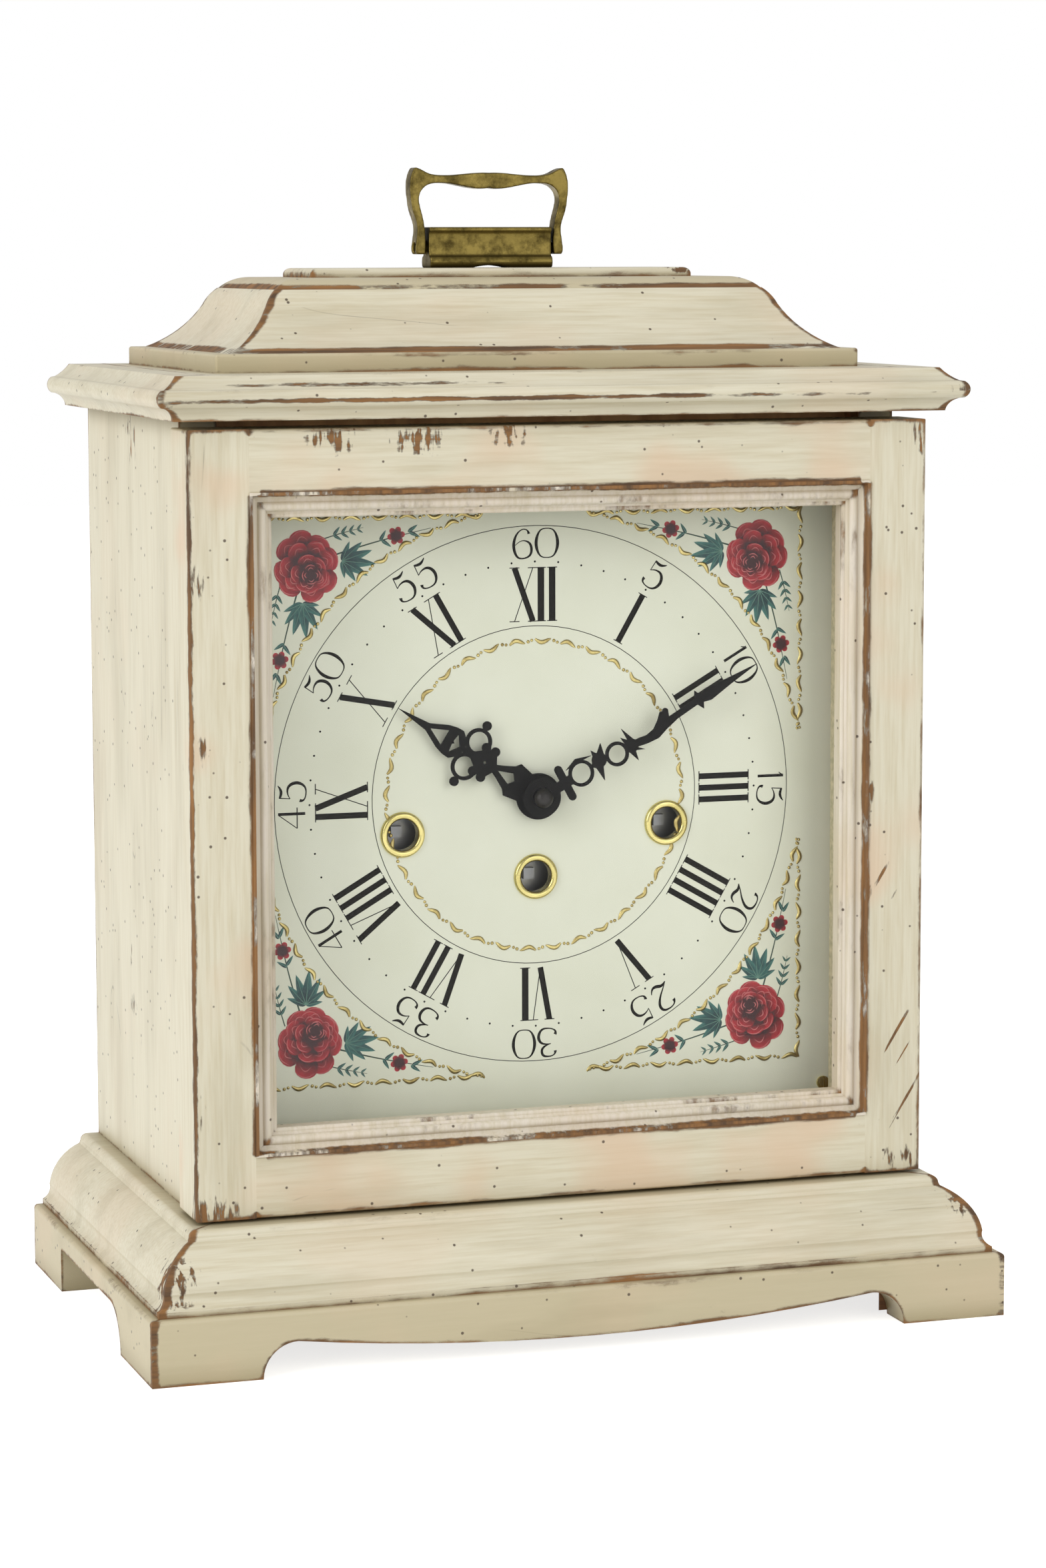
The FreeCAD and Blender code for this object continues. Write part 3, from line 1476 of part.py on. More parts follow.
def escape_wheel():
    """Escape arbor with its pinion between the plates and its wheel behind them."""
    where = escape_place()
    x, z = where
    to_third = bearing_from(where, third_place())
    pinion = gear(escape_pinion_teeth, third_module, x, z, meshing_bearing(to_third, escape_pinion_teeth),
                  third_wheel_y - fit_gap, third_wheel_y + wheel_thickness + fit_gap)
    y0 = back_plate_back_y + escape_rise
    y1 = y0 + wheel_thickness
    step = 360 / escape_teeth
    root_share = 0.78
    lean_share = 0.35
    path = []
    for i in range(escape_teeth):
        path.append(polar(x, z, root_share * escape_radius, i * step))
        path.append(polar(x, z, escape_radius, (i + lean_share) * step))
    wheel = prism("xz", y0, wheel_thickness, path)
    front = rod_y(pivot_radius, x, z, board_back_y, front_plate_back_y + end_shake)
    body = rod_y(slim_arbor_radius, x, z, front_plate_back_y + end_shake, y1 + end_shake)
    return joined([pinion, wheel, front, body])


def balance_wheel():
    x, z = balance_place()
    y0 = back_plate_back_y + balance_rise
    y1 = y0 + wheel_thickness
    inside = rod_y(balance_radius - balance_rim, x, z, y0 - overrun, y1 + overrun)
    ring = rod_y(balance_radius, x, z, y0, y1).cut(inside)
    half = spoke_width / 2
    arm = box(x - balance_radius + half, x + balance_radius - half, y0, y1, z - half, z + half)
    hub = rod_y(balance_hub_radius, x, z, y0 - end_shake, y1 + end_shake)
    cock_y = back_plate_back_y + cock_rise
    staff = rod_y(staff_radius, x, z, back_plate_back_y + end_shake, cock_y - end_shake)
    pivots = rod_y(balance_pivot_radius, x, z, back_plate_y, cock_y + cock_thickness)
    return joined([ring, arm, hub, staff, pivots])


def balance_cock():
    """A bridge screwed on the back plate that holds the rear pivot of the balance."""
    x, z = balance_place()
    y0 = back_plate_back_y + cock_rise
    y1 = y0 + cock_thickness
    foot = rod_y(cock_width / 2, x + cock_reach, z, back_plate_back_y, y1)
    arm = slot_y(x + cock_reach / 2, z, cock_width, cock_reach + cock_width, y0, y1)
    arm = turned_y(arm, x + cock_reach / 2, z, 90)
    bore = rod_y(balance_pivot_radius + running_clearance, x, z, y0 - overrun, y1 + overrun)
    return joined([foot, arm]).cut(bore)


# Motion work behind the dial

def cannon_pinion():
    """A tube that turns on the centre arbor: pinion at the back, seat for the minute hand in front."""
    x, z = centre_place()
    y1 = cannon_y + great_wheel_thickness
    tube_front = minute_hand_y + hand_thickness
    bearing = meshing_bearing(minute_arbor_bearing, cannon_teeth)
    pinion = gear(cannon_teeth, motion_module, x, z, bearing, cannon_y, y1)
    tube = rod_y(cannon_radius, x, z, tube_front, y1)
    stub = rod_y(arbor_radius, x, z, minute_hand_y - nut_stub, tube_front)
    bore = rod_y(arbor_radius + running_clearance, x, z, centre_nose_y - fit_gap, y1 + overrun)
    return joined([pinion, tube]).cut(bore).fuse(stub).removeSplitter()


def minute_wheel():
    """Minute wheel and its pinion in one, on the stud of the front plate."""
    x, z = minute_wheel_place()
    back = minute_arbor_bearing + 180
    y1 = cannon_y + great_wheel_thickness
    wheel = gear(minute_wheel_teeth, motion_module, x, z, back, cannon_y, y1)
    hub = rod_y(minute_hub_radius, x, z, hour_wheel_y, cannon_y)
    pinion = gear(minute_pinion_teeth, hour_module, x, z, back, hour_wheel_y,
                  hour_wheel_y + great_wheel_thickness)
    bore = rod_y(stud_radius + running_clearance, x, z, hour_wheel_y - overrun, y1 + overrun)
    return joined([wheel, hub, pinion]).cut(bore)


def hour_wheel():
    """Hour wheel on a pipe that runs over the cannon tube and carries the hour hand."""
    x, z = centre_place()
    bearing = meshing_bearing(minute_arbor_bearing, hour_teeth)
    y1 = hour_wheel_y + great_wheel_thickness
    wheel = gear(hour_teeth, hour_module, x, z, bearing, hour_wheel_y, y1)
    pipe = rod_y(hour_pipe_outer, x, z, hour_hand_y, y1)
    bore = rod_y(cannon_radius + running_clearance, x, z, hour_hand_y - overrun, y1 + overrun)
    return joined([wheel, pipe]).cut(bore)


# Chime

def hammer_levels():
    return [rod_first_y + i * rod_spacing for i in range(rod_count)]


def chime_rods():
    """Steel rods that are thinned where they enter the iron block."""
    z = base_top_z + rod_height_above_floor
    block_face = block_x - block_length / 2
    body_end = block_face - rod_neck_length
    rods = []
    for y in hammer_levels():
        body = rod_x(rod_radius, y, z, block_face - rod_length, body_end)
        neck = rod_x(rod_neck_radius, y, z, body_end, block_face + rod_neck_length)
        rods.append(joined([body, neck]))
    return group(rods)


def rod_block():
    z = base_top_z + rod_height_above_floor
    middle_y = rod_first_y + (rod_count - 1) * rod_spacing / 2
    face = block_x - block_length / 2
    block = box(face, face + block_length, middle_y - block_depth / 2, middle_y + block_depth / 2, base_top_z,
                base_top_z + block_height)
    for y in hammer_levels():
        block = block.cut(rod_x(rod_neck_radius, y, z, face - overrun, face + rod_neck_length))
    return block


def chime_hammers():
    """Five hammers on one arbor, each with a head over its rod and a tail up to the pin drum."""
    x, z = hammer_place()
    head_low = base_top_z + rod_height_above_floor + rod_radius + hammer_rest_gap
    head_top = head_low + hammer_head_length
    dx = hammer_head_x - x
    dz = head_top - z
    length = math.hypot(dx, dz)
    nx = -dz / length * hammer_arm_width / 2
    nz = dx / length * hammer_arm_width / 2
    half_tail = hammer_tail_width / 2
    levels = hammer_levels()
    hub = rod_y(hammer_hub_radius, x, z, levels[0] - hammer_arm_width, levels[-1] + hammer_arm_thickness)
    parts = [hub, rod_y(hammer_arbor_radius, x, z, board_back_y, levels[-1] + hammer_arm_width)]
    path = [(x + nx, z + nz), (hammer_head_x + nx, head_top + nz), (hammer_head_x - nx, head_top - nz),
            (x - nx, z - nz)]
    for y in levels:
        y0 = y - hammer_arm_thickness / 2
        parts.append(prism("xz", y0, hammer_arm_thickness, path))
        parts.append(rod_z(hammer_head_radius, hammer_head_x, y, head_low, head_top))
        tail = box(x - half_tail, x + half_tail, y0, y0 + hammer_arm_thickness, z, z + hammer_tail_length)
        parts.append(tail)
    return joined(parts)


def chime_drum():
    """Pin drum behind the plates, driven by the chime barrel's great wheel."""
    x, z = drum_place()
    bearing = meshing_bearing(drum_arbor_bearing + 180, drum_wheel_teeth)
    wheel = gear(drum_wheel_teeth, great_module, x, z, bearing, great_wheel_y,
                 great_wheel_y + great_wheel_thickness)
    shaft = rod_y(drum_arbor_radius, x, z, board_back_y, drum_end_y + collar_height)
    drum = rod_y(drum_radius, x, z, back_plate_back_y + escape_rise, drum_end_y)
    parts = [wheel, shaft, drum]
    for row, y in enumerate(hammer_levels()):
        for i in range(drum_pins_per_row):
            bearing = (i + row / rod_count) * 360 / drum_pins_per_row
            a = math.radians(bearing)
            out = V(math.sin(a), 0, math.cos(a))
            reach = drum_radius + drum_pin_height
            parts.append(Part.makeCylinder(drum_pin_radius, reach, V(x, y, z), out))
    return joined(parts)


PIECES = {
    "base_skirt": base_skirt,
    "skirt_rear": rear_skirt,
    "corner_blocks": glue_blocks,
    "base_moulding": base_moulding,
    "case_floor": floor_board,
    "case_side_left": case_side_left,
    "case_side_right": case_side_right,
    "case_top": top_board,
    "cornice_moulding": cornice_moulding,
    "bell_band": bell_band,
    "bell_moulding": bell_moulding,
    "bell_lid": bell_lid,
    "bell_pad": handle_pad,
    "handle_bracket": handle_bracket,
    "handle_bail": handle_bail,
    "handle_screws": handle_screws,
    "door_stile_left": door_stile_left,
    "door_stile_right": door_stile_right,
    "door_rail_top": door_rail_top,
    "door_rail_bottom": door_rail_bottom,
    "door_moulding": door_moulding,
    "door_glass": door_glass,
    "glass_beads": glass_beads,
    "door_hinge_leaves": front_door_leaves,
    "door_catch": door_catch,
    "case_hinge_leaves": case_hinge_leaves,
    "back_door": back_door,
    "back_hinge_leaves": back_door_leaves,
    "back_latch": turn_button,
    "dial_board": dial_board,
    "dial_plate": dial_plate,
    "dial_screws": dial_screws,
    "winding_grommets": winding_grommets,
    "silent_lever": silent_lever,
    "hour_hand": hour_hand,
    "minute_hand": minute_hand,
    "hand_nut": hand_nut,
    "front_plate": front_plate,
    "back_plate": back_plate,
    "plate_pillars": plate_pillars,
    "cannon_pinion": cannon_pinion,
    "minute_wheel": minute_wheel,
    "hour_wheel": hour_wheel,
    "centre_wheel": centre_wheel,
    "second_wheel": second_wheel,
    "third_wheel": third_wheel,
    "escape_wheel": escape_wheel,
    "balance_wheel": balance_wheel,
    "balance_cock": balance_cock,
    "time_barrel": time_barrel,
    "strike_barrel": strike_barrel,
    "chime_barrel": chime_barrel,
    "time_winding_arbor": time_winding_arbor,
    "strike_winding_arbor": strike_winding_arbor,
    "chime_winding_arbor": chime_winding_arbor,
    "clicks": clicks,
    "chime_drum": chime_drum,
    "chime_hammers": chime_hammers,
    "chime_rods": chime_rods,
    "rod_block": rod_block,
}

os.makedirs("parts", exist_ok=True)
for name, make in PIECES.items():
    make().exportStep("parts/" + name + ".step")
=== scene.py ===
"""Looks of a bell-top bracket clock: worn paint, printed dial, gilding, roses, cast handle and works.

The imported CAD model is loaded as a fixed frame, and everything here is in metres in that frame: +Z is up,
the dial faces -Y and +X is to the right of someone who faces the dial. Dial drawings are listed in
millimetres across and up from the middle of the dial, because their shapes are read that way.
"""

import math

import bmesh
import bpy
from mathutils import Matrix, Vector


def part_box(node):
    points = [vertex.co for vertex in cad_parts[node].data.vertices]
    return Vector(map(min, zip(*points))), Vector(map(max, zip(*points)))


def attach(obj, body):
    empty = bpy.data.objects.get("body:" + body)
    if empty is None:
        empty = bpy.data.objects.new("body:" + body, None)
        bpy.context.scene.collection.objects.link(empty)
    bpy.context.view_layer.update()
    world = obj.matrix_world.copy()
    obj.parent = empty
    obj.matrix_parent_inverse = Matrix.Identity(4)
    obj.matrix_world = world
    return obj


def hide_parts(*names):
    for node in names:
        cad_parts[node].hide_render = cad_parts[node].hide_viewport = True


bl_info = {
    "name": "Bracket clock finish",
    "version": (1, 0, 0),
    "blender": (4, 5, 0),
    "location": "View3D > Sidebar > Clock",
    "description": "Paints, prints and gilds a bell-top bracket clock on its CAD frame",
    "category": "Object",
}

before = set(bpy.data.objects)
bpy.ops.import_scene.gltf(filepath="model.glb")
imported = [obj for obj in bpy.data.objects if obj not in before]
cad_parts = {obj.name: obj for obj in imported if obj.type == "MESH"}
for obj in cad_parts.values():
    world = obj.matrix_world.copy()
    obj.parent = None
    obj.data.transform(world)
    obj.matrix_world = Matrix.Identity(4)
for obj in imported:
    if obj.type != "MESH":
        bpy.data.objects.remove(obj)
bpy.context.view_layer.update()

MM = 0.001
CASE = "clock_case"
door_low, door_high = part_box("door_stile_left")
dial_low, dial_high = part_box("dial_plate")
dial_face_y = dial_low.y
dial_centre_z = (dial_low.z + dial_high.z) / 2
rail_low, rail_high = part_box("door_rail_top")

ALONG_X = ("base_moulding", "case_top", "cornice_moulding", "bell_moulding", "bell_pad")
# Pieces that take a darker copy of the cream paint: painted shade low on the case, on the bell band and on
# the bell lid
SHADED_PIECES = ("base_skirt", "skirt_rear", "bell_band", "bell_lid")
CASE_SIDES = ("case_side_left", "case_side_right")
DOOR_RAILS = ("door_rail_top", "door_rail_bottom")
DOOR_STILES = ("door_stile_left", "door_stile_right")
SOLID_BOARDS = ("corner_blocks", "case_floor")
PLYWOOD = ("dial_board", "back_door")
TURNED_STEEL = ("handle_screws", "chime_rods", "time_winding_arbor", "strike_winding_arbor",
                "chime_winding_arbor", "clicks", "chime_hammers")
CASE_BRASS = ("door_catch", "case_hinge_leaves", "door_hinge_leaves", "back_hinge_leaves", "back_latch")

# Corners of the dial, as signs across and up
CORNERS = ((-1, -1), (-1, 1), (1, -1), (1, 1))

# Where the paint is rubbed through most: middle and reach in millimetres, and how much. Lined places are
# worn through along a whole lip or arris, and scored ones are scratched
RUBBED_CASE = (
    ((-124, -73, 29), (14, 14, 15), 0.95),
    ((-128, -78, 10), (5, 6, 12), 0.45),
    ((123, -72, 34), (14, 14, 8), 0.75),
    ((20, -80, 19), (60, 6, 3), 0.3),
    ((-110, 22, 262), (4, 13, 15), 0.7),
    ((-110, 30, 104), (4, 4, 8), 0.8),
    ((-110, 28, 90), (4, 10, 10), 0.5),
    ((-110, 77, 226), (4, 4, 20), 0.55),
    ((-110, -36, 60), (5, 4, 16), 0.5),
    ((-122, -66, 275), (8, 8, 9), 0.55),
    ((122, -66, 276), (12, 8, 6), 0.5),
    ((70, -36, 291), (13, 8, 3), 0.8),
    ((-97, -34, 290), (9, 10, 3), 0.7),
    ((-70, -36, 288), (40, 8, 2), 0.35),
    ((58, 0, 311), (14, 20, 3), 0.7),
    ((-60, -38, 41), (60, 30, 2), 0.3),
)
LINED_CASE = (
    ((-60, -66, 279.6), (90, 10, 1.4), 1.15),
    ((-30, -67, 275.2), (210, 10, 1.4), 1.15),
)
LINED_DOOR = (
    ((-112, -58, 154), (2.0, 4, 600), 1.15),
)
RUBBED_DOOR = (
    ((-70, -58, 264), (14, 6, 8), 0.7),
    ((-45, -58, 264), (16, 6, 9), 0.75),
    ((-17, -58, 265), (12, 6, 7), 0.75),
    ((30, -58, 266), (8, 6, 4), 0.5),
    ((111, -58, 262), (7, 8, 16), 0.62),
    ((-112, -58, 41), (20, 8, 13), 0.95),
    ((-111, -58, 74), (5, 6, 16), 0.5),
    ((-110, -58, 225), (5, 6, 12), 0.65),
    ((-108, -58, 178), (3, 6, 11), 0.6),
    ((106, -58, 46), (14, 8, 8), 0.6),
    ((95, -58, 158), (2.5, 5, 9), 0.75),
    ((95, -58, 215), (2.5, 5, 20), 0.35),
    ((-20, -58, 247), (70, 5, 2.2), 0.4),
)
SCORED_DOOR = (
    ((104, -58, 72), (12, 8, 26), 1.0),
    ((99, -58, 130), (6, 8, 16), 0.5),
)

# Sizes of the marks in the aged paint
CLOUD_SIZE = 45 * MM
STRETCH_SIZE = 30 * MM
SMEAR_SIZE = 14 * MM
SPECK_CELL = 4.2 * MM
CHIP_SIZE = 2.8 * MM
CUT_WIDTH = 2.2 * MM
RAG_MARK = 1.7 * MM
# How far the painted shade in hollows and between parts reaches
HOLLOW_SHADE_REACH = 9 * MM
CUT_SLANT = math.radians(-32)
# The paint is worn on the door as far back as the first of these, and not at all from the second
DOOR_WORN_DEPTHS = (6 * MM, 8 * MM)

# Figures drawn in a box one high: (across, up, half width) along each stroke
FIGURE_STROKE_SHARES = {
    "1": ((((0.3, 0.83, 0.014), (0.36, 0.88, 0.016), (0.44, 0.99, 0.02)), False),
          (((0.44, 1.0, 0.046), (0.44, 0.5, 0.046), (0.44, 0.0, 0.046)), False)),
    "2": ((((0.14, 0.78, 0.06), (0.12, 0.9, 0.025), (0.36, 1.02, 0.018), (0.76, 0.98, 0.04),
            (0.84, 0.72, 0.05), (0.6, 0.42, 0.03), (0.26, 0.18, 0.018), (0.1, 0.02, 0.018)), False),
          (((0.1, 0.03, 0.02), (0.3, 0.14, 0.05), (0.56, 0.0, 0.055), (0.8, 0.02, 0.03),
            (0.9, 0.2, 0.014)), False)),
    "3": ((((0.16, 0.8, 0.055), (0.14, 0.92, 0.022), (0.38, 1.02, 0.018), (0.76, 0.98, 0.045),
            (0.76, 0.62, 0.04), (0.36, 0.53, 0.014)), False),
          (((0.36, 0.54, 0.014), (0.72, 0.58, 0.03), (0.95, 0.32, 0.055), (0.8, -0.03, 0.035),
            (0.36, -0.04, 0.016), (0.1, 0.08, 0.03), (0.17, 0.2, 0.055)), False)),
    "4": ((((0.64, 1.0, 0.014), (0.34, 0.64, 0.014), (0.05, 0.3, 0.014)), False),
          (((0.05, 0.3, 0.016), (0.5, 0.3, 0.016), (0.92, 0.3, 0.016)), False),
          (((0.66, 1.0, 0.046), (0.66, 0.5, 0.046), (0.66, 0.0, 0.046)), False)),
    "5": ((((0.28, 0.96, 0.018), (0.26, 0.76, 0.014), (0.24, 0.55, 0.014)), False),
          (((0.27, 0.94, 0.03), (0.44, 0.87, 0.05), (0.66, 0.9, 0.04), (0.8, 1.0, 0.012)), False),
          (((0.24, 0.55, 0.012), (0.4, 0.66, 0.018), (0.78, 0.64, 0.045), (0.94, 0.3, 0.055),
            (0.74, -0.03, 0.03), (0.34, -0.04, 0.016), (0.1, 0.08, 0.03), (0.16, 0.2, 0.055)), False)),
    "6": ((((0.76, 0.84, 0.05), (0.74, 0.96, 0.022), (0.5, 1.04, 0.014), (0.2, 0.84, 0.03),
            (0.06, 0.42, 0.055), (0.22, -0.02, 0.035), (0.56, -0.06, 0.018), (0.88, 0.08, 0.04),
            (0.88, 0.46, 0.045), (0.6, 0.62, 0.018), (0.3, 0.56, 0.012), (0.13, 0.4, 0.01)), False),),
    "0": ((((0.5, 1.04, 0.014), (0.16, 0.98, 0.024), (-0.02, 0.5, 0.062), (0.16, 0.02, 0.024),
            (0.5, -0.04, 0.014), (0.84, 0.02, 0.024), (1.02, 0.5, 0.062), (0.84, 0.98, 0.024)), True),),
}
FIGURE_WIDTH_SHARES = {"1": 0.62, "2": 0.94, "3": 0.94, "4": 0.94, "5": 0.94, "6": 0.94, "0": 1.0}
ROMAN_HOURS = ("XII", "I", "II", "III", "IIII", "V", "VI", "VII", "VIII", "IX", "X", "XI")
FIGURE_BREADTH = 0.86
FIGURE_WEIGHT = 1.3

# Hour letters in millimetres: width of each, and half widths of stem, hairline and serif
ROMAN_ADVANCE = {"I": 3.5, "V": 6.6, "X": 7.2}
ROMAN_STEM, ROMAN_HAIR, ROMAN_SERIF = 1.02, 0.16, 1.55

# One arm of the rose spray, in millimetres from the rose's middle
STEM_LINE = ((2, -6, 0.28), (5, -16, 0.24), (7.5, -26, 0.18), (10, -38, 0.08))
SPRIG_LINE = ((-5, 7.4, 0.2), (-10, 9, 0.16), (-17.5, 10.6, 0.06))
LEAF_FAN = ((112, 0.72), (138, 0.95), (162, 1.12), (186, 1.2), (210, 1.05), (236, 0.85), (262, 0.6))
BUD_LEAVES = ((6.6, -22.5, 120), (6.8, -23.0, 215), (9.0, -31.0, 145), (9.0, -31.4, 205))

# Lamps: size of each side, and where they stand, in metres
LAMP_SIZE = 1.4
KEY_SPOT, FILL_SPOT = (-2.0, -0.9, 1.0), (0.6, -2.0, 0.9)


def linear(code):
    """A colour written as #RRGGBB, as the linear values that Blender works in."""
    shares = [int(code[i:i + 2], 16) / 255 for i in (1, 3, 5)]
    return tuple(s / 12.92 if s <= 0.04045 else ((s + 0.055) / 1.055) ** 2.4 for s in shares)


def colour_property(name, description, code):
    return bpy.props.FloatVectorProperty(name=name, description=description, subtype="COLOR", size=3,
                                         min=0, max=1, default=linear(code))


def length_property(name, description, millimetres):
    return bpy.props.FloatProperty(name=name, description=description, subtype="DISTANCE", unit="LENGTH",
                                   min=0, default=millimetres * MM)


class ClockPaint(bpy.types.PropertyGroup):
    """Colours and grain of the paint and the wood under it."""

    cream: colour_property("Cream", "The paint where it is clean", "#E2DBC3")
    glaze: colour_property("Glaze", "Brushed glaze over the cream", "#CFC3A3")
    # A darker copy of the cream, used as painted shade on the skirt, the rear skirt, the bell band and the
    # bell lid
    dusk: colour_property("Dusk", "The paint of the skirt and of the bell's flat edges", "#CBBF9E")
    blush: colour_property("Blush", "Peach that shows in patches", "#E2C5A6")
    olive: colour_property("Olive", "Grey-green shade in hollows", "#988A64")
    rim: colour_property("Rim", "Dark edge of a rubbed place", "#4B3A2B")
    bare: colour_property("Bare wood", "Stained wood where the paint is gone", "#986B3B")
    moulding: colour_property("Moulding", "Paler paint of the moulding round the glass", "#E4DACA")
    board: colour_property("Board", "Stained solid wood inside", "#8A5F3C")
    ply: colour_property("Plywood", "Face of the plywood", "#B58C5C")
    stroke: length_property("Brush stroke", "Width of one mark of the brush", 1.2)
    wear: length_property("Wear", "How far from an edge the paint is rubbed", 1.8)


class ClockDial(bpy.types.PropertyGroup):
    """Sizes and colours of what is printed and raised on the dial."""

    ground: colour_property("Ground", "Enamel of the dial", "#EFF2DE")
    ink: colour_property("Ink", "Black of the figures", "#15130F")
    gold: colour_property("Gold", "Raised gilding", "#CDBD7E")
    outer_ring: length_property("Outer ring", "Radius of the thin circle round the minutes", 80.0)
    inner_ring: length_property("Inner ring", "Radius of the thin circle under the hours", 50.4)
    hour_foot: length_property("Hour foot", "Radius where the hour figures stand", 51.8)
    hour_top: length_property("Hour top", "Radius where the hour figures end", 67.6)
    dot_ring: length_property("Dot ring", "Radius of the minute dots", 69.4)
    minute_foot: length_property("Minute foot", "Radius where the minute figures stand", 70.7)
    minute_height: length_property("Minute height", "Height of the minute figures", 8.2)
    bead_ring: length_property("Bead ring", "Radius of the gilt ring", 46.0)
    border: length_property("Border", "From the middle to the gilt rows", 84.0)
    border_arc: length_property("Border arc", "Radius of the gilt rows beside the circle", 85.2)
    border_start: length_property("Border start", "Where a gilt row begins, from the middle line", 16.0)
    gilt_step: length_property("Gilt step", "Length of one dash and its two beads", 8.0)
    letter_size: length_property("Lettering", "Height of the two words beside the lever", 1.7)


class ClockFlowers(bpy.types.PropertyGroup):
    """Sizes and colours of the rose spray in each corner."""

    red_dark: colour_property("Deep red", "Heart of the rose", "#35060D")
    red: colour_property("Red", "Lip of a petal", "#C42C36")
    pink: colour_property("Pink", "Light line on a petal", "#D98482")
    green_dark: colour_property("Deep green", "Shaded half of a leaf", "#0E3438")
    green: colour_property("Green", "Light half of a leaf", "#4A8A80")
    stem: colour_property("Stem", "Stems and tendrils", "#2E4C3E")
    place: length_property("Place", "From the middle to a rose, across and up", 70.0)
    radius: length_property("Radius", "Radius of an open rose", 10.4)
    leaf: length_property("Leaf", "Length of a leaf", 8.6)


class ClockMetal(bpy.types.PropertyGroup):
    """Colours of the metals."""

    antique: colour_property("Antique brass", "Handle where it is rubbed", "#7E6E3A")
    patina: colour_property("Patina", "Handle in its hollows", "#2E2510")
    polished: colour_property("Polished brass", "Rings of the winding holes", "#DDD08A")
    plate: colour_property("Plate brass", "Plates and wheels", "#BE9C58")
    steel: colour_property("Steel", "Turned steel", "#8C8D8E")
    black: colour_property("Black", "Paint of the hands", "#0D0C0C")
    iron: colour_property("Iron", "Block of the chime rods", "#2C2B2B")
    voxel: length_property("Casting grain", "Grain at which the cast shapes are rounded", 0.4)


class ClockStage(bpy.types.PropertyGroup):
    """Camera, lamps and floor."""

    aim: bpy.props.FloatVectorProperty(name="Aim", description="Point that the camera looks at", size=3,
                                       subtype="TRANSLATION", unit="LENGTH",
                                       default=(8.64 * MM, 9.19 * MM, 154.8 * MM))
    distance: length_property("Distance", "From the camera to its aim", 1307.0)
    yaw: bpy.props.FloatProperty(name="Yaw", description="Turn of the view from +Y toward +X",
                                 subtype="ANGLE", unit="ROTATION", default=math.radians(18.28))
    pitch: bpy.props.FloatProperty(name="Pitch", description="How far the view looks down",
                                   subtype="ANGLE", unit="ROTATION", default=math.radians(7.15))
    roll: bpy.props.FloatProperty(name="Roll", description="Tilt of the camera", subtype="ANGLE",
                                  unit="ROTATION", default=math.radians(-0.13))
    lens: bpy.props.FloatProperty(name="Lens", description="Focal length in mm on a 36 mm long side",
                                  min=1, default=98.2)
    surround: bpy.props.FloatProperty(name="Surround", description="Strength of the even light all round",
                                      min=0, default=0.62)
    key: bpy.props.FloatProperty(name="Key", description="Power of the large lamp at the left, in W",
                                 min=0, default=24.0)
    fill: bpy.props.FloatProperty(name="Fill", description="Power of the lamp at the front right, in W",
                                  min=0, default=9.0)


def add(tree, kind, inputs=None, **settings):
    """Adds one shader node, sets its settings, and sets or links its inputs."""
    made = tree.nodes.new("ShaderNode" + kind)
    for name, value in settings.items():
        setattr(made, name, value)
    for key, value in (inputs or {}).items():
        if isinstance(value, bpy.types.NodeSocket):
            tree.links.new(value, made.inputs[key])
        elif made.inputs[key].type == "RGBA":
            made.inputs[key].default_value = (*value[:3], 1)
        else:
            made.inputs[key].default_value = value
    return made


def new_material(name):
    """An empty material and its tree."""
    material = bpy.data.materials.new(name)
    material.use_nodes = True
    material.node_tree.nodes.clear()
    return material, material.node_tree


def close_material(material, shader):
    add(material.node_tree, "OutputMaterial", {"Surface": shader.outputs[0]})
    return material


def relief_finish(material, colour, roughness, height, strength, depth, others=None):
    """Ends a material in a principled shader whose normal follows a small relief."""
    tree = material.node_tree
    bump = add(tree, "Bump", {"Strength": strength, "Distance": depth, "Height": height})
    return close_material(material, add(tree, "BsdfPrincipled", {
        "Base Color": colour, "Roughness": roughness, "Normal": bump.outputs[0], **(others or {})}))


def maths(tree, operation, *values, clamp=False):
    """The result of one sum on numbers or sockets."""
    return add(tree, "Math", dict(enumerate(values)), operation=operation, use_clamp=clamp).outputs[0]


def remap(tree, value, low=0.0, high=1.0, to_low=0.0, to_high=1.0, smooth=False):
    """A value carried from one span to another and held within it."""
    return add(tree, "MapRange", {"Value": value, "From Min": low, "From Max": high, "To Min": to_low,
                                  "To Max": to_high},
               interpolation_type="SMOOTHSTEP" if smooth else "LINEAR").outputs[0]


def blend(tree, share, first, second):
    """The first colour giving way to the second."""
    return add(tree, "Mix", {"Factor": share, 6: first, 7: second}, data_type="RGBA").outputs[2]


def noise(tree, place, size, detail, roughness=0.5, distortion=0.0):
    """Soft noise whose largest marks are about one size wide."""
    return add(tree, "TexNoise", {"Vector": place, "Scale": 1 / size, "Detail": detail,
                                  "Roughness": roughness, "Distortion": distortion}).outputs["Fac"]


def occlusion(tree, reach, samples, **settings):
    """How open a place is, from 0 to 1, to what lies within reach of it."""
    return add(tree, "AmbientOcclusion", {"Distance": reach}, samples=samples, **settings).outputs["AO"]


def own_place(tree):
    """Object coordinates, which are the frame's own."""
    return add(tree, "TexCoord").outputs["Object"]


def one_axis(tree, vector, axis):
    return add(tree, "SeparateXYZ", {0: vector}).outputs[axis]


def mapped(tree, vector, **how):
    return add(tree, "Mapping", {"Vector": vector, **how}).outputs[0]


def stretched(tree, along, share):
    """Object coordinates squeezed along one axis, so that a pattern there runs long that way."""
    return mapped(tree, own_place(tree), Scale=[share if axis == along else 1.0 for axis in "xyz"])


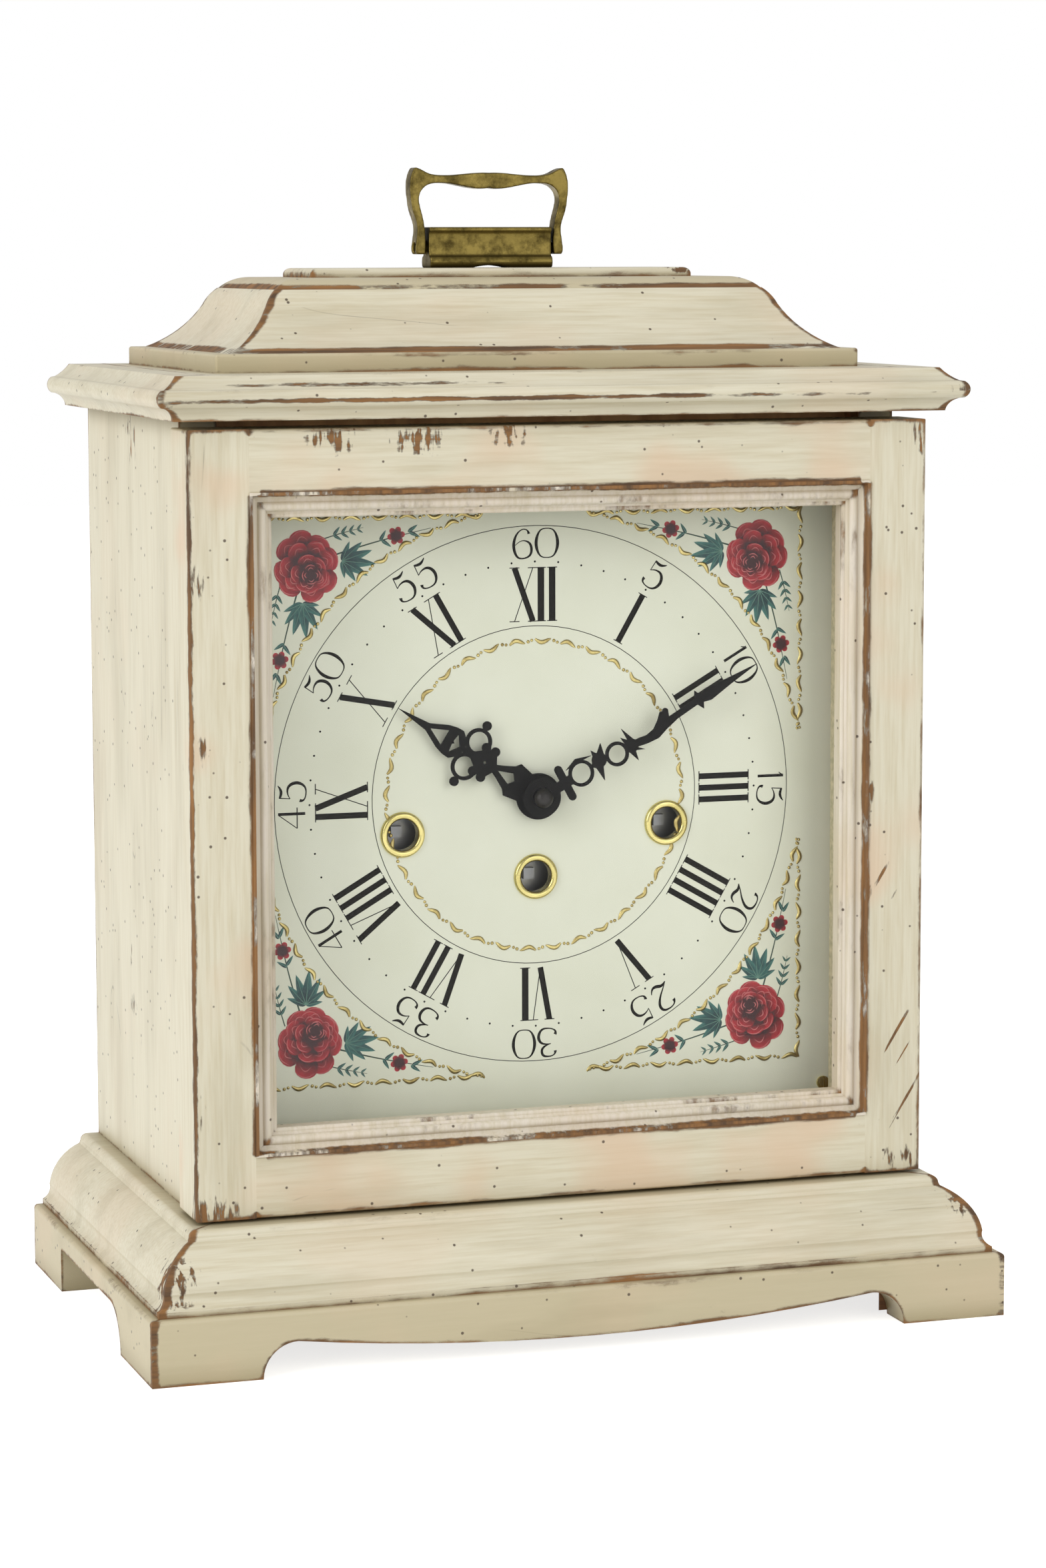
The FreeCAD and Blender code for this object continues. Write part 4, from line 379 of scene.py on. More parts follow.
def rubbed_places(tree, place, places):
    """How strongly a place is rubbed: the strongest of the listed ones, each fading out to its reach."""
    total = None
    for middle, reach, amount in places:
        off = add(tree, "VectorMath", {0: place, 1: [v * MM for v in middle]}, operation="SUBTRACT")
        near = add(tree, "VectorMath", {0: off.outputs[0], 1: [v * MM for v in reach]}, operation="DIVIDE")
        far = add(tree, "VectorMath", {0: near.outputs[0]}, operation="LENGTH").outputs["Value"]
        share = remap(tree, far, 1.0, 0.0, 0.0, amount)
        total = share if total is None else maths(tree, "MAXIMUM", total, share)
    return total


def away_from_joints(tree, place):
    """0 beside the glued joints of the door's frame, where the paint runs over, and 1 elsewhere."""
    middle_z = (door_low.z + door_high.z) / 2
    half_opening = rail_low.z - middle_z
    half_height = door_high.z - middle_z
    across = maths(tree, "ABSOLUTE", one_axis(tree, place, "X"))
    gap = maths(tree, "ABSOLUTE", maths(tree, "SUBTRACT", across, rail_high.x))
    beside = remap(tree, gap, 2.6 * MM, 3.4 * MM, 1.0, 0.0)
    height = maths(tree, "ABSOLUTE", maths(tree, "SUBTRACT", one_axis(tree, place, "Z"), middle_z))
    rail = remap(tree, height, half_opening - MM, half_opening)
    inner = remap(tree, height, half_height - 1.6 * MM, half_height - 2.4 * MM)
    joint = maths(tree, "MULTIPLY", maths(tree, "MULTIPLY", rail, inner), beside)
    return maths(tree, "SUBTRACT", 1.0, joint)


def wood_colour(tree, along, dark, light, band):
    """Long dark and light lines of wood grain."""
    fine = noise(tree, stretched(tree, along, 0.06), band, 5.0, 0.62)
    return blend(tree, remap(tree, fine, 0.36, 0.66), dark, light)


def aged_paint(name, paint, along, rubbed=(), lined=(), ground=None, wear=1.0, spared=0.4, blush=0.2,
               streaks=0.7, specks=0.4, hollows=0.8, scored=(), on_door=False, raw_within=None):
    """Milk paint on hardwood, brushed, glazed and rubbed through. Brush marks run along the board, edges and
    knocked places show brown wood with a dark rim, hollows and the places between parts darken to olive as
    painted shade and pooled glaze, and fine dark specks are spattered over all of it. wear is how strongly
    the edges are rubbed and spared how much is taken off in quiet stretches; blush, streaks, specks and
    hollows say how much there is of each, hollows being the strength of that painted shade."""
    material, tree = new_material(name)
    place = own_place(tree)
    brush = noise(tree, stretched(tree, along, 0.05), paint.stroke, 4.0, 0.6)
    streak = remap(tree, brush, 0.4, 0.72, 0.0, streaks)
    colour = blend(tree, streak, ground or paint.cream, paint.glaze)
    cloud = noise(tree, place, CLOUD_SIZE, 2.0)
    colour = blend(tree, remap(tree, cloud, 0.48, 0.66, 0.0, blush, smooth=True), colour, paint.blush)
    shifted = mapped(tree, stretched(tree, along, 0.2), Location=(3.1, 1.7, 5.3))
    smear = noise(tree, shifted, SMEAR_SIZE, 4.0)
    colour = blend(tree, remap(tree, smear, 0.46, 0.72, 0.0, 0.22, smooth=True), colour, paint.olive)
    # Painted shade: occlusion within reach darkens hollows, corners and the places between parts to olive, as
    # shade and pooled glaze would
    hollow_glaze_and_shade = remap(tree, occlusion(tree, HOLLOW_SHADE_REACH, 8), 0.93, 0.4, 0.0, hollows)
    colour = blend(tree, hollow_glaze_and_shade, colour, paint.olive)
    # Spatter of dark specks about 0.8 mm wide. Few of the cells' middles lie near enough to a surface to show
    spatter = add(tree, "TexVoronoi", {"Vector": place, "Scale": 1 / SPECK_CELL, "Randomness": 1.0})
    chosen = add(tree, "SeparateColor", {"Color": spatter.outputs["Color"]}).outputs["Red"]
    kept = maths(tree, "GREATER_THAN", chosen, 1 - specks)
    dot = remap(tree, spatter.outputs["Distance"], 0.13, 0.08, 0.0, 0.9)
    colour = blend(tree, maths(tree, "MULTIPLY", kept, dot), colour, paint.rim)
    # Hairline scratches where one level of a noise runs, in some places only
    drift = noise(tree, shifted, STRETCH_SIZE, 1.0)
    off = maths(tree, "ABSOLUTE", maths(tree, "SUBTRACT", drift, 0.5))
    line = remap(tree, off, 0.003, 0.001, 0.0, 0.45)
    scratch = maths(tree, "MULTIPLY", line, remap(tree, smear, 0.6, 0.66))
    colour = blend(tree, scratch, colour, paint.rim)
    # Paint is rubbed off within a few millimetres of a corner, more in some stretches than in others
    inside = occlusion(tree, paint.wear, 12, inside=True, only_local=True)
    edge = remap(tree, inside, 0.97, 0.5, 0.0, wear)
    if on_door:
        # The faces behind the glass were never handled
        worn, whole = (door_low.y + depth for depth in DOOR_WORN_DEPTHS)
        edge = maths(tree, "MULTIPLY", edge, remap(tree, one_axis(tree, place, "Y"), whole, worn))
        edge = maths(tree, "MULTIPLY", edge, away_from_joints(tree, place))
    stretch = noise(tree, place, STRETCH_SIZE, 3.0)
    crumb = noise(tree, stretched(tree, along, 0.3), CHIP_SIZE, 5.0, 0.65)
    broad = remap(tree, stretch, 0.34, 0.66, -spared, 0.3)
    ragged = remap(tree, crumb, 0.25, 0.75, -0.34, 0.34)
    score = maths(tree, "ADD", edge, broad)
    if rubbed:
        # A rag was drawn up and down over the knocked places, which leaves upright chips
        comb = noise(tree, stretched(tree, "z", 0.16), RAG_MARK, 3.0)
        teeth = remap(tree, comb, 0.4, 0.62, 0.5, 1.7)
        knocks = maths(tree, "MULTIPLY", rubbed_places(tree, place, rubbed), teeth)
        score = maths(tree, "MAXIMUM", score, knocks)
    if lined:
        score = maths(tree, "MAXIMUM", score, rubbed_places(tree, place, lined))
    score = maths(tree, "ADD", score, ragged)
    if scored:
        # Slanting scratches, side by side
        slant = mapped(tree, place, Rotation=(0, CUT_SLANT, 0))
        cuts = noise(tree, mapped(tree, slant, Scale=(1, 1, 0.06)), CUT_WIDTH, 2.0)
        deep = remap(tree, cuts, 0.6, 0.68)
        cut = maths(tree, "MULTIPLY", rubbed_places(tree, place, scored), 1.6, clamp=True)
        score = maths(tree, "ADD", score, maths(tree, "MULTIPLY", cut, deep))
    halo = remap(tree, score, 0.5, 0.7, 0.0, 0.75, smooth=True)
    gone = remap(tree, score, 0.68, 0.78, smooth=True)
    colour = blend(tree, halo, colour, paint.rim)
    wood = wood_colour(tree, along, linear("#57402A"), paint.bare, 3 * MM)
    colour = blend(tree, gone, colour, wood)
    if raw_within:
        # The inner faces were never painted
        across = maths(tree, "ABSOLUTE", one_axis(tree, place, "X"))
        raw = maths(tree, "LESS_THAN", across, raw_within)
        board = wood_colour(tree, along, linear("#6E4A2E"), paint.board, 1.6 * MM)
        colour = blend(tree, raw, colour, board)
    rough = remap(tree, gone, to_low=0.46, to_high=0.72)
    marks = maths(tree, "MULTIPLY_ADD", brush, 0.35, remap(tree, gone, to_low=1.0, to_high=0.0))
    return relief_finish(material, colour, rough, marks, 0.5, 0.22 * MM, {"IOR": 1.5})


def stained_board(name, dark, light, along):
    """Planed and stained hardwood: long soft grain, no gloss, with open pores that catch the light."""
    material, tree = new_material(name)
    colour = wood_colour(tree, along, dark, light, 1.8 * MM)
    pores = noise(tree, stretched(tree, along, 0.05), 0.5 * MM, 3.0)
    rough = remap(tree, pores, to_low=0.5, to_high=0.75)
    return relief_finish(material, colour, rough, pores, 0.35, 0.15 * MM)


def plywood(name, paint):
    """Birch plywood under a thin stain: broad wandering figure on the faces, thin light and dark layers on
    the edges."""
    material, tree = new_material(name)
    place = own_place(tree)
    figure = noise(tree, stretched(tree, "z", 0.12), 9 * MM, 4.0, distortion=0.8)
    face = blend(tree, remap(tree, figure, 0.35, 0.68), paint.ply, linear("#94683F"))
    turns = maths(tree, "MULTIPLY", one_axis(tree, place, "Y"), math.pi / (1.3 * MM))
    band = remap(tree, maths(tree, "SINE", turns), -0.25, 0.25)
    side = blend(tree, band, linear("#C79F6B"), linear("#76502F"))
    flat = maths(tree, "ABSOLUTE", one_axis(tree, add(tree, "NewGeometry").outputs["Normal"], "Y"))
    colour = blend(tree, maths(tree, "GREATER_THAN", flat, 0.7), side, face)
    pores = noise(tree, stretched(tree, "z", 0.05), 0.6 * MM, 3.0)
    return relief_finish(material, colour, 0.58, pores, 0.3, 0.12 * MM)


def cast_metal(name, light, dark, roughness, pit, hollow_reach):
    """Cast or aged metal: dark patina lies in hollows and blotches, rubbed edges shine, and small pits show
    how it was poured."""
    material, tree = new_material(name)
    place = own_place(tree)
    deep = remap(tree, occlusion(tree, hollow_reach, 8), 0.95, 0.45, 0.0, 0.85)
    dirty = remap(tree, noise(tree, place, 6 * MM, 6.0, 0.7), 0.42, 0.66, 0.0, 0.75)
    share = maths(tree, "MAXIMUM", deep, dirty)
    colour = blend(tree, share, light, dark)
    grain = noise(tree, place, pit, 4.0, 0.6)
    rough = remap(tree, share, to_low=roughness, to_high=min(1.0, roughness + 0.3))
    return relief_finish(material, colour, rough, grain, 0.4, 0.12 * MM, {"Metallic": 1.0})


def brushed_metal(name, light, dark, roughness, along):
    """Rolled or turned metal: fine lines run one way and a faint tarnish clouds the shine."""
    material, tree = new_material(name)
    lines = noise(tree, stretched(tree, along, 0.03), 0.25 * MM, 2.0)
    cloud = noise(tree, own_place(tree), 12 * MM, 4.0)
    colour = blend(tree, remap(tree, cloud, 0.42, 0.72, 0.0, 0.6), light, dark)
    rough = remap(tree, lines, 0.3, 0.7, roughness, roughness + 0.16)
    return relief_finish(material, colour, rough, lines, 0.2, 0.04 * MM, {"Metallic": 1.0})


def coated(name, colour, other, roughness, grain, relief, gloss=0.5):
    """Paint, ink or enamel on metal: one even colour that clouds a little, with a fine surface grain."""
    material, tree = new_material(name)
    place = own_place(tree)
    tint = blend(tree, remap(tree, noise(tree, place, 30 * MM, 3.0), 0.35, 0.7), colour, other)
    fine = noise(tree, place, grain, 2.0)
    return relief_finish(material, tint, roughness, fine, 0.25, relief, {"Specular IOR Level": gloss})


def hand_painted(name, dark, light):
    """Artist's enamel laid on by brush: each petal or leaf runs from a deep to a light tone, streaked by the
    hairs of the brush."""
    material, tree = new_material(name)
    tone = add(tree, "Attribute", attribute_name="tone").outputs["Fac"]
    streak = noise(tree, own_place(tree), 0.9 * MM, 3.0)
    share = maths(tree, "ADD", tone, remap(tree, streak, to_low=-0.3, to_high=0.3), clamp=True)
    return relief_finish(material, blend(tree, share, dark, light), 0.42, streak, 0.3, 0.04 * MM)


def window_glass(name):
    """Flat float glass, 2 mm thick: clear, with a faint sheen that grows toward the edges of the view."""
    material, tree = new_material(name)
    clear = add(tree, "BsdfTransparent", {"Color": linear("#FEFEFE")})
    sheen = add(tree, "BsdfGlossy", {"Color": linear("#FFFFFF"), "Roughness": 0.03})
    steep = maths(tree, "POWER", add(tree, "LayerWeight", {"Blend": 0.5}).outputs["Facing"], 5.0)
    share = maths(tree, "MULTIPLY_ADD", steep, 0.6, 0.006)
    return close_material(material, add(tree, "MixShader", {0: share, 1: clear.outputs[0],
                                                            2: sheen.outputs[0]}))


def dress(names, material):
    """Gives CAD pieces their material."""
    for name in names:
        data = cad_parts[name].data
        data.materials.clear()
        data.materials.append(material)
        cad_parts[name]["dressed"] = True


def place_mesh(mesh, material, body, smooth=True):
    """Makes a finished mesh a piece of the clock, under the mesh's own name, that rides on a body."""
    mesh.materials.clear()
    mesh.materials.append(material)
    for face in mesh.polygons:
        face.use_smooth = smooth
    piece = bpy.data.objects.new(mesh.name, mesh)
    bpy.context.scene.collection.objects.link(piece)
    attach(piece, body)
    return piece


def lay_on_dial(mesh, material, smooth=True):
    place_mesh(mesh, material, CASE, smooth)


def closed_mesh(bm, name):
    """The mesh that a bmesh holds. The bmesh is freed."""
    mesh = bpy.data.meshes.new(name)
    bm.to_mesh(mesh)
    bm.free()
    return mesh


def evaluated_mesh(source, name):
    """The mesh that an object gives with its modifiers. The object is removed."""
    bpy.context.scene.collection.objects.link(source)
    graph = bpy.context.evaluated_depsgraph_get()
    mesh = bpy.data.meshes.new_from_object(source.evaluated_get(graph))
    mesh.name = name
    bpy.data.objects.remove(source)
    return mesh


def mesh_of(data, name):
    """The mesh that a curve or text gives."""
    mesh = evaluated_mesh(bpy.data.objects.new(name + "_line", data), name)
    bpy.data.curves.remove(data)
    return mesh


def stroke_mesh(name, strokes, flatness, lift=0.0, steps=5):
    """Rounded strokes laid on the dial. Each is (points, closed, curved), and a point is across, up and half
    width in millimetres from the dial's middle. Flatness is a stroke's height over its width."""
    curve = bpy.data.curves.new(name, "CURVE")
    curve.dimensions = "3D"
    curve.bevel_depth = MM
    curve.bevel_resolution = 1
    curve.resolution_u = steps
    curve.use_fill_caps = True
    for points, closed, curved in strokes:
        spline = curve.splines.new("NURBS" if curved else "POLY")
        spline.points.add(len(points) - 1)
        for spot, (across, up, half) in zip(spline.points, points):
            spot.co = (across * MM, 0, up * MM, 1)
            spot.radius = half
        spline.use_cyclic_u = closed
        if curved:
            spline.order_u = 3
            spline.use_endpoint_u = not closed
    mesh = mesh_of(curve, name)
    mesh.transform(Matrix.Diagonal((1, flatness, 1, 1)))
    mesh.transform(Matrix.Translation((0, dial_face_y - lift, dial_centre_z)))
    return mesh


def on_dial(across, out, bearing):
    """Across and up from the dial's middle, for a place out along a clockwise bearing and across it."""
    angle = math.radians(bearing)
    return (out * math.sin(angle) + across * math.cos(angle),
            out * math.cos(angle) - across * math.sin(angle))


def turned_stroke(points, bearing, closed=False, curved=False):
    """A stroke drawn upright beside the twelve, turned to its own bearing."""
    return ([(*on_dial(across, out, bearing), half) for across, out, half in points], closed, curved)


def roman_strokes(text, bearing, foot, top):
    """Thick stems, hairline diagonals and hairline serifs of one hour, its feet toward the middle."""
    start = -sum(ROMAN_ADVANCE[letter] for letter in text) / 2
    strokes = []
    for letter in text:
        middle = start + ROMAN_ADVANCE[letter] / 2
        reach = ROMAN_ADVANCE[letter] / 2 - 0.75
        if letter == "I":
            lines = [((middle, foot), (middle, top), ROMAN_STEM)]
            ends = [(middle, foot), (middle, top)]
        elif letter == "V":
            lines = [((middle - reach, top), (middle + 0.3, foot), ROMAN_STEM),
                     ((middle + reach, top), (middle + 0.3, foot), ROMAN_HAIR)]
            ends = [(middle - reach, top), (middle + reach, top)]
        else:
            lines = [((middle - reach, top), (middle + reach, foot), ROMAN_STEM),
                     ((middle + reach, top), (middle - reach, foot), ROMAN_HAIR)]
            ends = [(middle - reach, top), (middle + reach, top), (middle - reach, foot),
                    (middle + reach, foot)]
        for (a0, r0), (a1, r1), half in lines:
            strokes.append(turned_stroke([(a0, r0, half), (a1, r1, half)], bearing))
        for across, out in ends:
            strokes.append(turned_stroke([(across - ROMAN_SERIF, out, ROMAN_HAIR),
                                          (across + ROMAN_SERIF, out, ROMAN_HAIR)], bearing))
        start += ROMAN_ADVANCE[letter]
    return strokes


def figure_strokes(text, bearing, foot, height):
    """One minute figure, its top outward."""
    gap = 0.1
    widths = [FIGURE_WIDTH_SHARES[figure] * FIGURE_BREADTH for figure in text]
    start = -(sum(widths) + gap * (len(text) - 1)) / 2
    strokes = []
    for figure, width in zip(text, widths):
        for points, closed in FIGURE_STROKE_SHARES[figure]:
            drawn = [((start + across * FIGURE_BREADTH) * height, foot + up * height,
                      half * height * FIGURE_WEIGHT) for across, up, half in points]
            strokes.append(turned_stroke(drawn, bearing, closed, True))
        start += width + gap
    return strokes


def ring_stroke(radius, half, count=120):
    """A thin full circle."""
    points = [(*on_dial(0, radius, i * 360 / count), half) for i in range(count)]
    return (points, True, False)


def gilt_run(strokes, beads, length, step, at):
    """Curled dashes and double beads along a run. at(distance, aside) gives a place across and up."""
    count = max(1, round(length / step))
    pitch = length / count
    for i in range(count):
        swing = 0.45 if i % 2 else -0.45
        shape = ((0.0, -1.2 * swing, 0.3), (0.1, 0.2 * swing, 0.6), (0.24, 1.3 * swing, 0.74),
                 (0.4, 0.4 * swing, 0.68), (0.52, -1.0 * swing, 0.5), (0.61, -1.6 * swing, 0.14))
        strokes.append(([(*at((i + share) * pitch, aside), half) for share, aside, half in shape], False,
                        True))
        for share, aside, radius in ((0.73, -0.5, 0.52), (0.87, 0.3, 0.46)):
            beads.append((*at((i + share) * pitch, aside * swing), radius))


def add_beads(bm, beads, flatness):
    """Flattened round beads on the dial."""
    for across, up, radius in beads:
        middle = Vector((across * MM, dial_face_y, up * MM + dial_centre_z))
        shape = Matrix.Translation(middle) @ Matrix.Diagonal((1, flatness, 1, 1))
        bmesh.ops.create_uvsphere(bm, u_segments=8, v_segments=5, radius=radius * MM, matrix=shape)


def add_petal(bm, tone, root, bearing, length, width, height, tones, point=0.0):
    """A flat painted petal or leaf from its root outward, in millimetres on the dial. point makes its far end
    sharp, and tones are at its root, its lip and how much lighter its right half is."""
    made = bmesh.ops.create_circle(bm, cap_ends=True, cap_tris=True, segments=18, radius=1)
    for vert in made["verts"]:
        share = (vert.co.y + 1) / 2
        taper = 1 - point * share ** 2 + 0.06 * math.cos(9 * vert.co.x)
        across = vert.co.x * width / 2 * (0.62 + 0.38 * share if not point else taper)
        x, z = on_dial(across, share * length, bearing)
        side = tones[2] if vert.co.x > 0.05 else 0
        vert[tone] = tones[0] + (tones[1] - tones[0]) * share + side
        vert.co = ((root[0] + x) * MM, dial_face_y - height * MM, (root[1] + z) * MM + dial_centre_z)


def flower_mesh(name, petals):
    """All petals of one colour as thin closed shapes."""
    bm = bmesh.new()
    tone = bm.verts.layers.float.new("tone")
    for petal in petals:
        add_petal(bm, tone, *petal)
    bm.normal_update()
    bmesh.ops.reverse_faces(bm, faces=[face for face in bm.faces if face.normal.y > 0])
    bmesh.ops.solidify(bm, geom=bm.faces[:], thickness=0.02 * MM)
    return closed_mesh(bm, name)


def open_rose(centre, radius, turn):
    """Petals of an open rose in four rings, and light lines on their lips."""
    petals, lips, level = [], [], 0.05
    rings = ((8, 0.3, 0.7, 0.82, (-0.7, 0.9, 0.2)), (7, 0.16, 0.6, 0.7, (-0.8, 1.0, 0.2)),
             (5, 0.04, 0.5, 0.62, (-0.7, 0.85, 0.15)), (4, -0.04, 0.32, 0.4, (-0.6, 0.25, 0.1)))
    for ring, (count, root, length, width, tones) in enumerate(rings):
        # The heart sits off the middle, as on a rose seen a little from the side
        heart = (centre[0] * (1 - 0.008 * ring), centre[1] * (1 - 0.014 * ring))
        for i in range(count):
            bearing = turn + 31 * ring + i * 360 / count + 7 * math.sin(3 * i + ring)
            grow = 1 + 0.1 * math.sin(5 * i + 2 * ring)
            level += 0.003
            x, z = on_dial(0, root * radius, bearing)
            petals.append(((heart[0] + x, heart[1] + z), bearing, length * radius * grow,
                           width * radius, level, tones))
            for share, reach in ((0.97, 0.36), (0.74, 0.2)):
                lip = []
                for k, half in ((-1, 0.03), (-0.5, 0.15), (0, 0.18), (0.5, 0.12), (1, 0.03)):
                    out = (root + length * grow * (share - 0.2 * k * k)) * radius
                    lx, lz = on_dial((k * reach + 0.04) * width * radius, out, bearing)
                    lip.append((heart[0] + lx, heart[1] + lz, half))
                lips.append((lip, False, True))
    return petals, lips


class CLOCK_OT_paint_case(bpy.types.Operator):
    """Paint the case, the bell top and the base, and wear their edges"""

    bl_idname = "clock.paint_case"
    bl_label = "Paint the case"

    def execute(self, context):
        paint = context.scene.clock_paint
        dress(ALONG_X, aged_paint("Worn cream paint, grain across", paint, "x", RUBBED_CASE, LINED_CASE))
        # The skirt, the rear skirt, the bell band and the bell lid take the darker copy of the cream, which
        # paints in shade on them
        dress(SHADED_PIECES, aged_paint("Worn paint darkened as painted shade, grain across", paint, "x", RUBBED_CASE, LINED_CASE,
                                ground=paint.dusk))
        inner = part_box("case_side_right")[0].x + 0.2 * MM
        dress(CASE_SIDES, aged_paint("Worn cream paint, grain upright", paint, "z", RUBBED_CASE, LINED_CASE,
                                     blush=0.1, streaks=0.4, specks=0.15, raw_within=inner))
        return {"FINISHED"}


class CLOCK_OT_paint_door(bpy.types.Operator):
    """Paint the door's frame and the moulding round its glass"""

    bl_idname = "clock.paint_door"
    bl_label = "Paint the door"

    def execute(self, context):
        paint = context.scene.clock_paint
        framed = {"wear": 1.15, "spared": 0.15, "blush": 0.7, "hollows": 0.6, "on_door": True}
        dress(DOOR_RAILS, aged_paint("Worn door paint, grain across", paint, "x", RUBBED_DOOR, LINED_DOOR,
                                     **framed))
        dress(DOOR_STILES, aged_paint("Worn door paint, grain upright", paint, "z", RUBBED_DOOR, LINED_DOOR,
                                      scored=SCORED_DOOR, **framed))
        dress(["door_moulding"], aged_paint("Worn moulding paint", paint, "z", ground=paint.moulding,
                                            wear=0.85, spared=0.3, hollows=0.3, on_door=True))
        return {"FINISHED"}


class CLOCK_OT_finish_boards(bpy.types.Operator):
    """Stain the boards, blocks and plywood that carry the clock inside"""

    bl_idname = "clock.finish_boards"
    bl_label = "Finish the inner boards"

    def execute(self, context):
        paint = context.scene.clock_paint
        dress(SOLID_BOARDS, stained_board("Stained hardwood board", linear("#5F3F27"), paint.board, "x"))
        dress(["glass_beads"], stained_board("Limed pale wood", linear("#A8A183"), paint.glaze, "x"))
        dress(PLYWOOD, plywood("Birch plywood, stained", paint))
        return {"FINISHED"}


class CLOCK_OT_glaze_door(bpy.types.Operator):
    """Put clear glass in the door"""

    bl_idname = "clock.glaze_door"
    bl_label = "Glaze the door"

    def execute(self, context):
        dress(["door_glass"], window_glass("Clear float glass"))
        return {"FINISHED"}


class CLOCK_OT_enamel_dial(bpy.types.Operator):
    """Enamel the dial plate"""

    bl_idname = "clock.enamel_dial"
    bl_label = "Enamel the dial"

    def execute(self, context):
        ground = context.scene.clock_dial.ground
        dress(["dial_plate"], coated("Satin cream enamel on sheet metal", ground, linear("#E9ECD6"), 0.4,
                                     0.4 * MM, 0.01 * MM))
        return {"FINISHED"}


class CLOCK_OT_print_dial(bpy.types.Operator):
    """Print the circles, the hours, the minutes and their dots"""

    bl_idname = "clock.print_dial"
    bl_label = "Print the dial"

    def execute(self, context):
        dial = context.scene.clock_dial
        ink = coated("Black printing ink", dial.ink, linear("#1D1B17"), 0.6, 0.3 * MM, 0.01 * MM, 0.15)
        foot, top = dial.hour_foot / MM, dial.hour_top / MM
        hours, minutes = [], []
        for i, text in enumerate(ROMAN_HOURS):
            hours += roman_strokes(text, i * 30, foot, top)
            minutes += figure_strokes(str((i * 5) or 60), i * 30, dial.minute_foot / MM,
                                      dial.minute_height / MM)
        rings = [ring_stroke(dial.outer_ring / MM, 0.13), ring_stroke(dial.inner_ring / MM, 0.13, 90)]
        lay_on_dial(stroke_mesh("dial_hours", hours, 0.03), ink)
        lay_on_dial(stroke_mesh("dial_minutes", minutes, 0.05), ink)
        lay_on_dial(stroke_mesh("dial_circles", rings, 0.1), ink)
        bm = bmesh.new()
        add_beads(bm, [(*on_dial(0, dial.dot_ring / MM, minute * 6), 0.32) for minute in range(60)], 0.08)
        lay_on_dial(closed_mesh(bm, "dial_minute_dots"), ink)
        return {"FINISHED"}


class CLOCK_OT_letter_lever(bpy.types.Operator):
    """Letter the two places of the chime lever"""

    bl_idname = "clock.letter_lever"
    bl_label = "Letter the lever"

    def execute(self, context):
        dial = context.scene.clock_dial
        ink = coated("Black lettering ink", dial.ink, linear("#1D1B17"), 0.6, 0.3 * MM, 0.01 * MM, 0.15)
        reading_up = Matrix.Rotation(math.radians(-90), 4, "Y") @ Matrix.Rotation(math.radians(90), 4, "X")
        both = bmesh.new()
        for words, rise in (("CHIME", 9.0), ("SILENT", -9.0)):
            text = bpy.data.curves.new("lever_words", "FONT")
            text.body = words
            text.size = dial.letter_size
            text.align_x, text.align_y = "CENTER", "CENTER"
            text.extrude = 0.02 * MM
            mesh = mesh_of(text, "lever_words")
            spot = Vector((-82.6 * MM, dial_face_y, dial_centre_z + rise * MM))
            mesh.transform(Matrix.Translation(spot) @ reading_up)
            both.from_mesh(mesh)
            bpy.data.meshes.remove(mesh)
        lay_on_dial(closed_mesh(both, "lever_lettering"), ink, smooth=False)
        return {"FINISHED"}


class CLOCK_OT_gild_dial(bpy.types.Operator):
    """Lay the raised gilt ring and the gilt borders of the corners"""

    bl_idname = "clock.gild_dial"
    bl_label = "Gild the dial"

    def execute(self, context):
        dial = context.scene.clock_dial
        step = dial.gilt_step / MM
        ring, border, arc = dial.bead_ring / MM, dial.border / MM, dial.border_arc / MM
        start = dial.border_start / MM
        strokes, beads = [], []
        gilt_run(strokes, beads, 2 * math.pi * ring, step,
                 lambda far, aside: on_dial(0, ring + aside, math.degrees(far / ring)))
        first = math.degrees(math.asin(start / arc))
        swept = math.degrees(math.acos(start / arc)) - first
        for right, up in CORNERS:
            gilt_run(strokes, beads, border - start, step,
                     lambda far, aside: (right * (border - far), up * (border - 0.5 + aside)))
            gilt_run(strokes, beads, border - start, step,
                     lambda far, aside: (right * (border + aside), up * (border - far)))
            gilt_run(strokes, beads, math.radians(swept) * arc, step,
                     lambda far, aside: tuple(sign * v for sign, v in zip(
                         (right, up), on_dial(0, arc + aside, first + math.degrees(far / arc)))))
        mesh = stroke_mesh("dial_gilding", strokes, 0.5, steps=3)
        bm = bmesh.new()
        bm.from_mesh(mesh)
        add_beads(bm, beads, 0.7)
        bm.to_mesh(mesh)
        bm.free()
        gold = cast_metal("Gold size and leaf, raised", dial.gold, linear("#8A7340"), 0.3, 0.4 * MM,
                          0.6 * MM)
        place_mesh(mesh, gold, CASE)
        return {"FINISHED"}


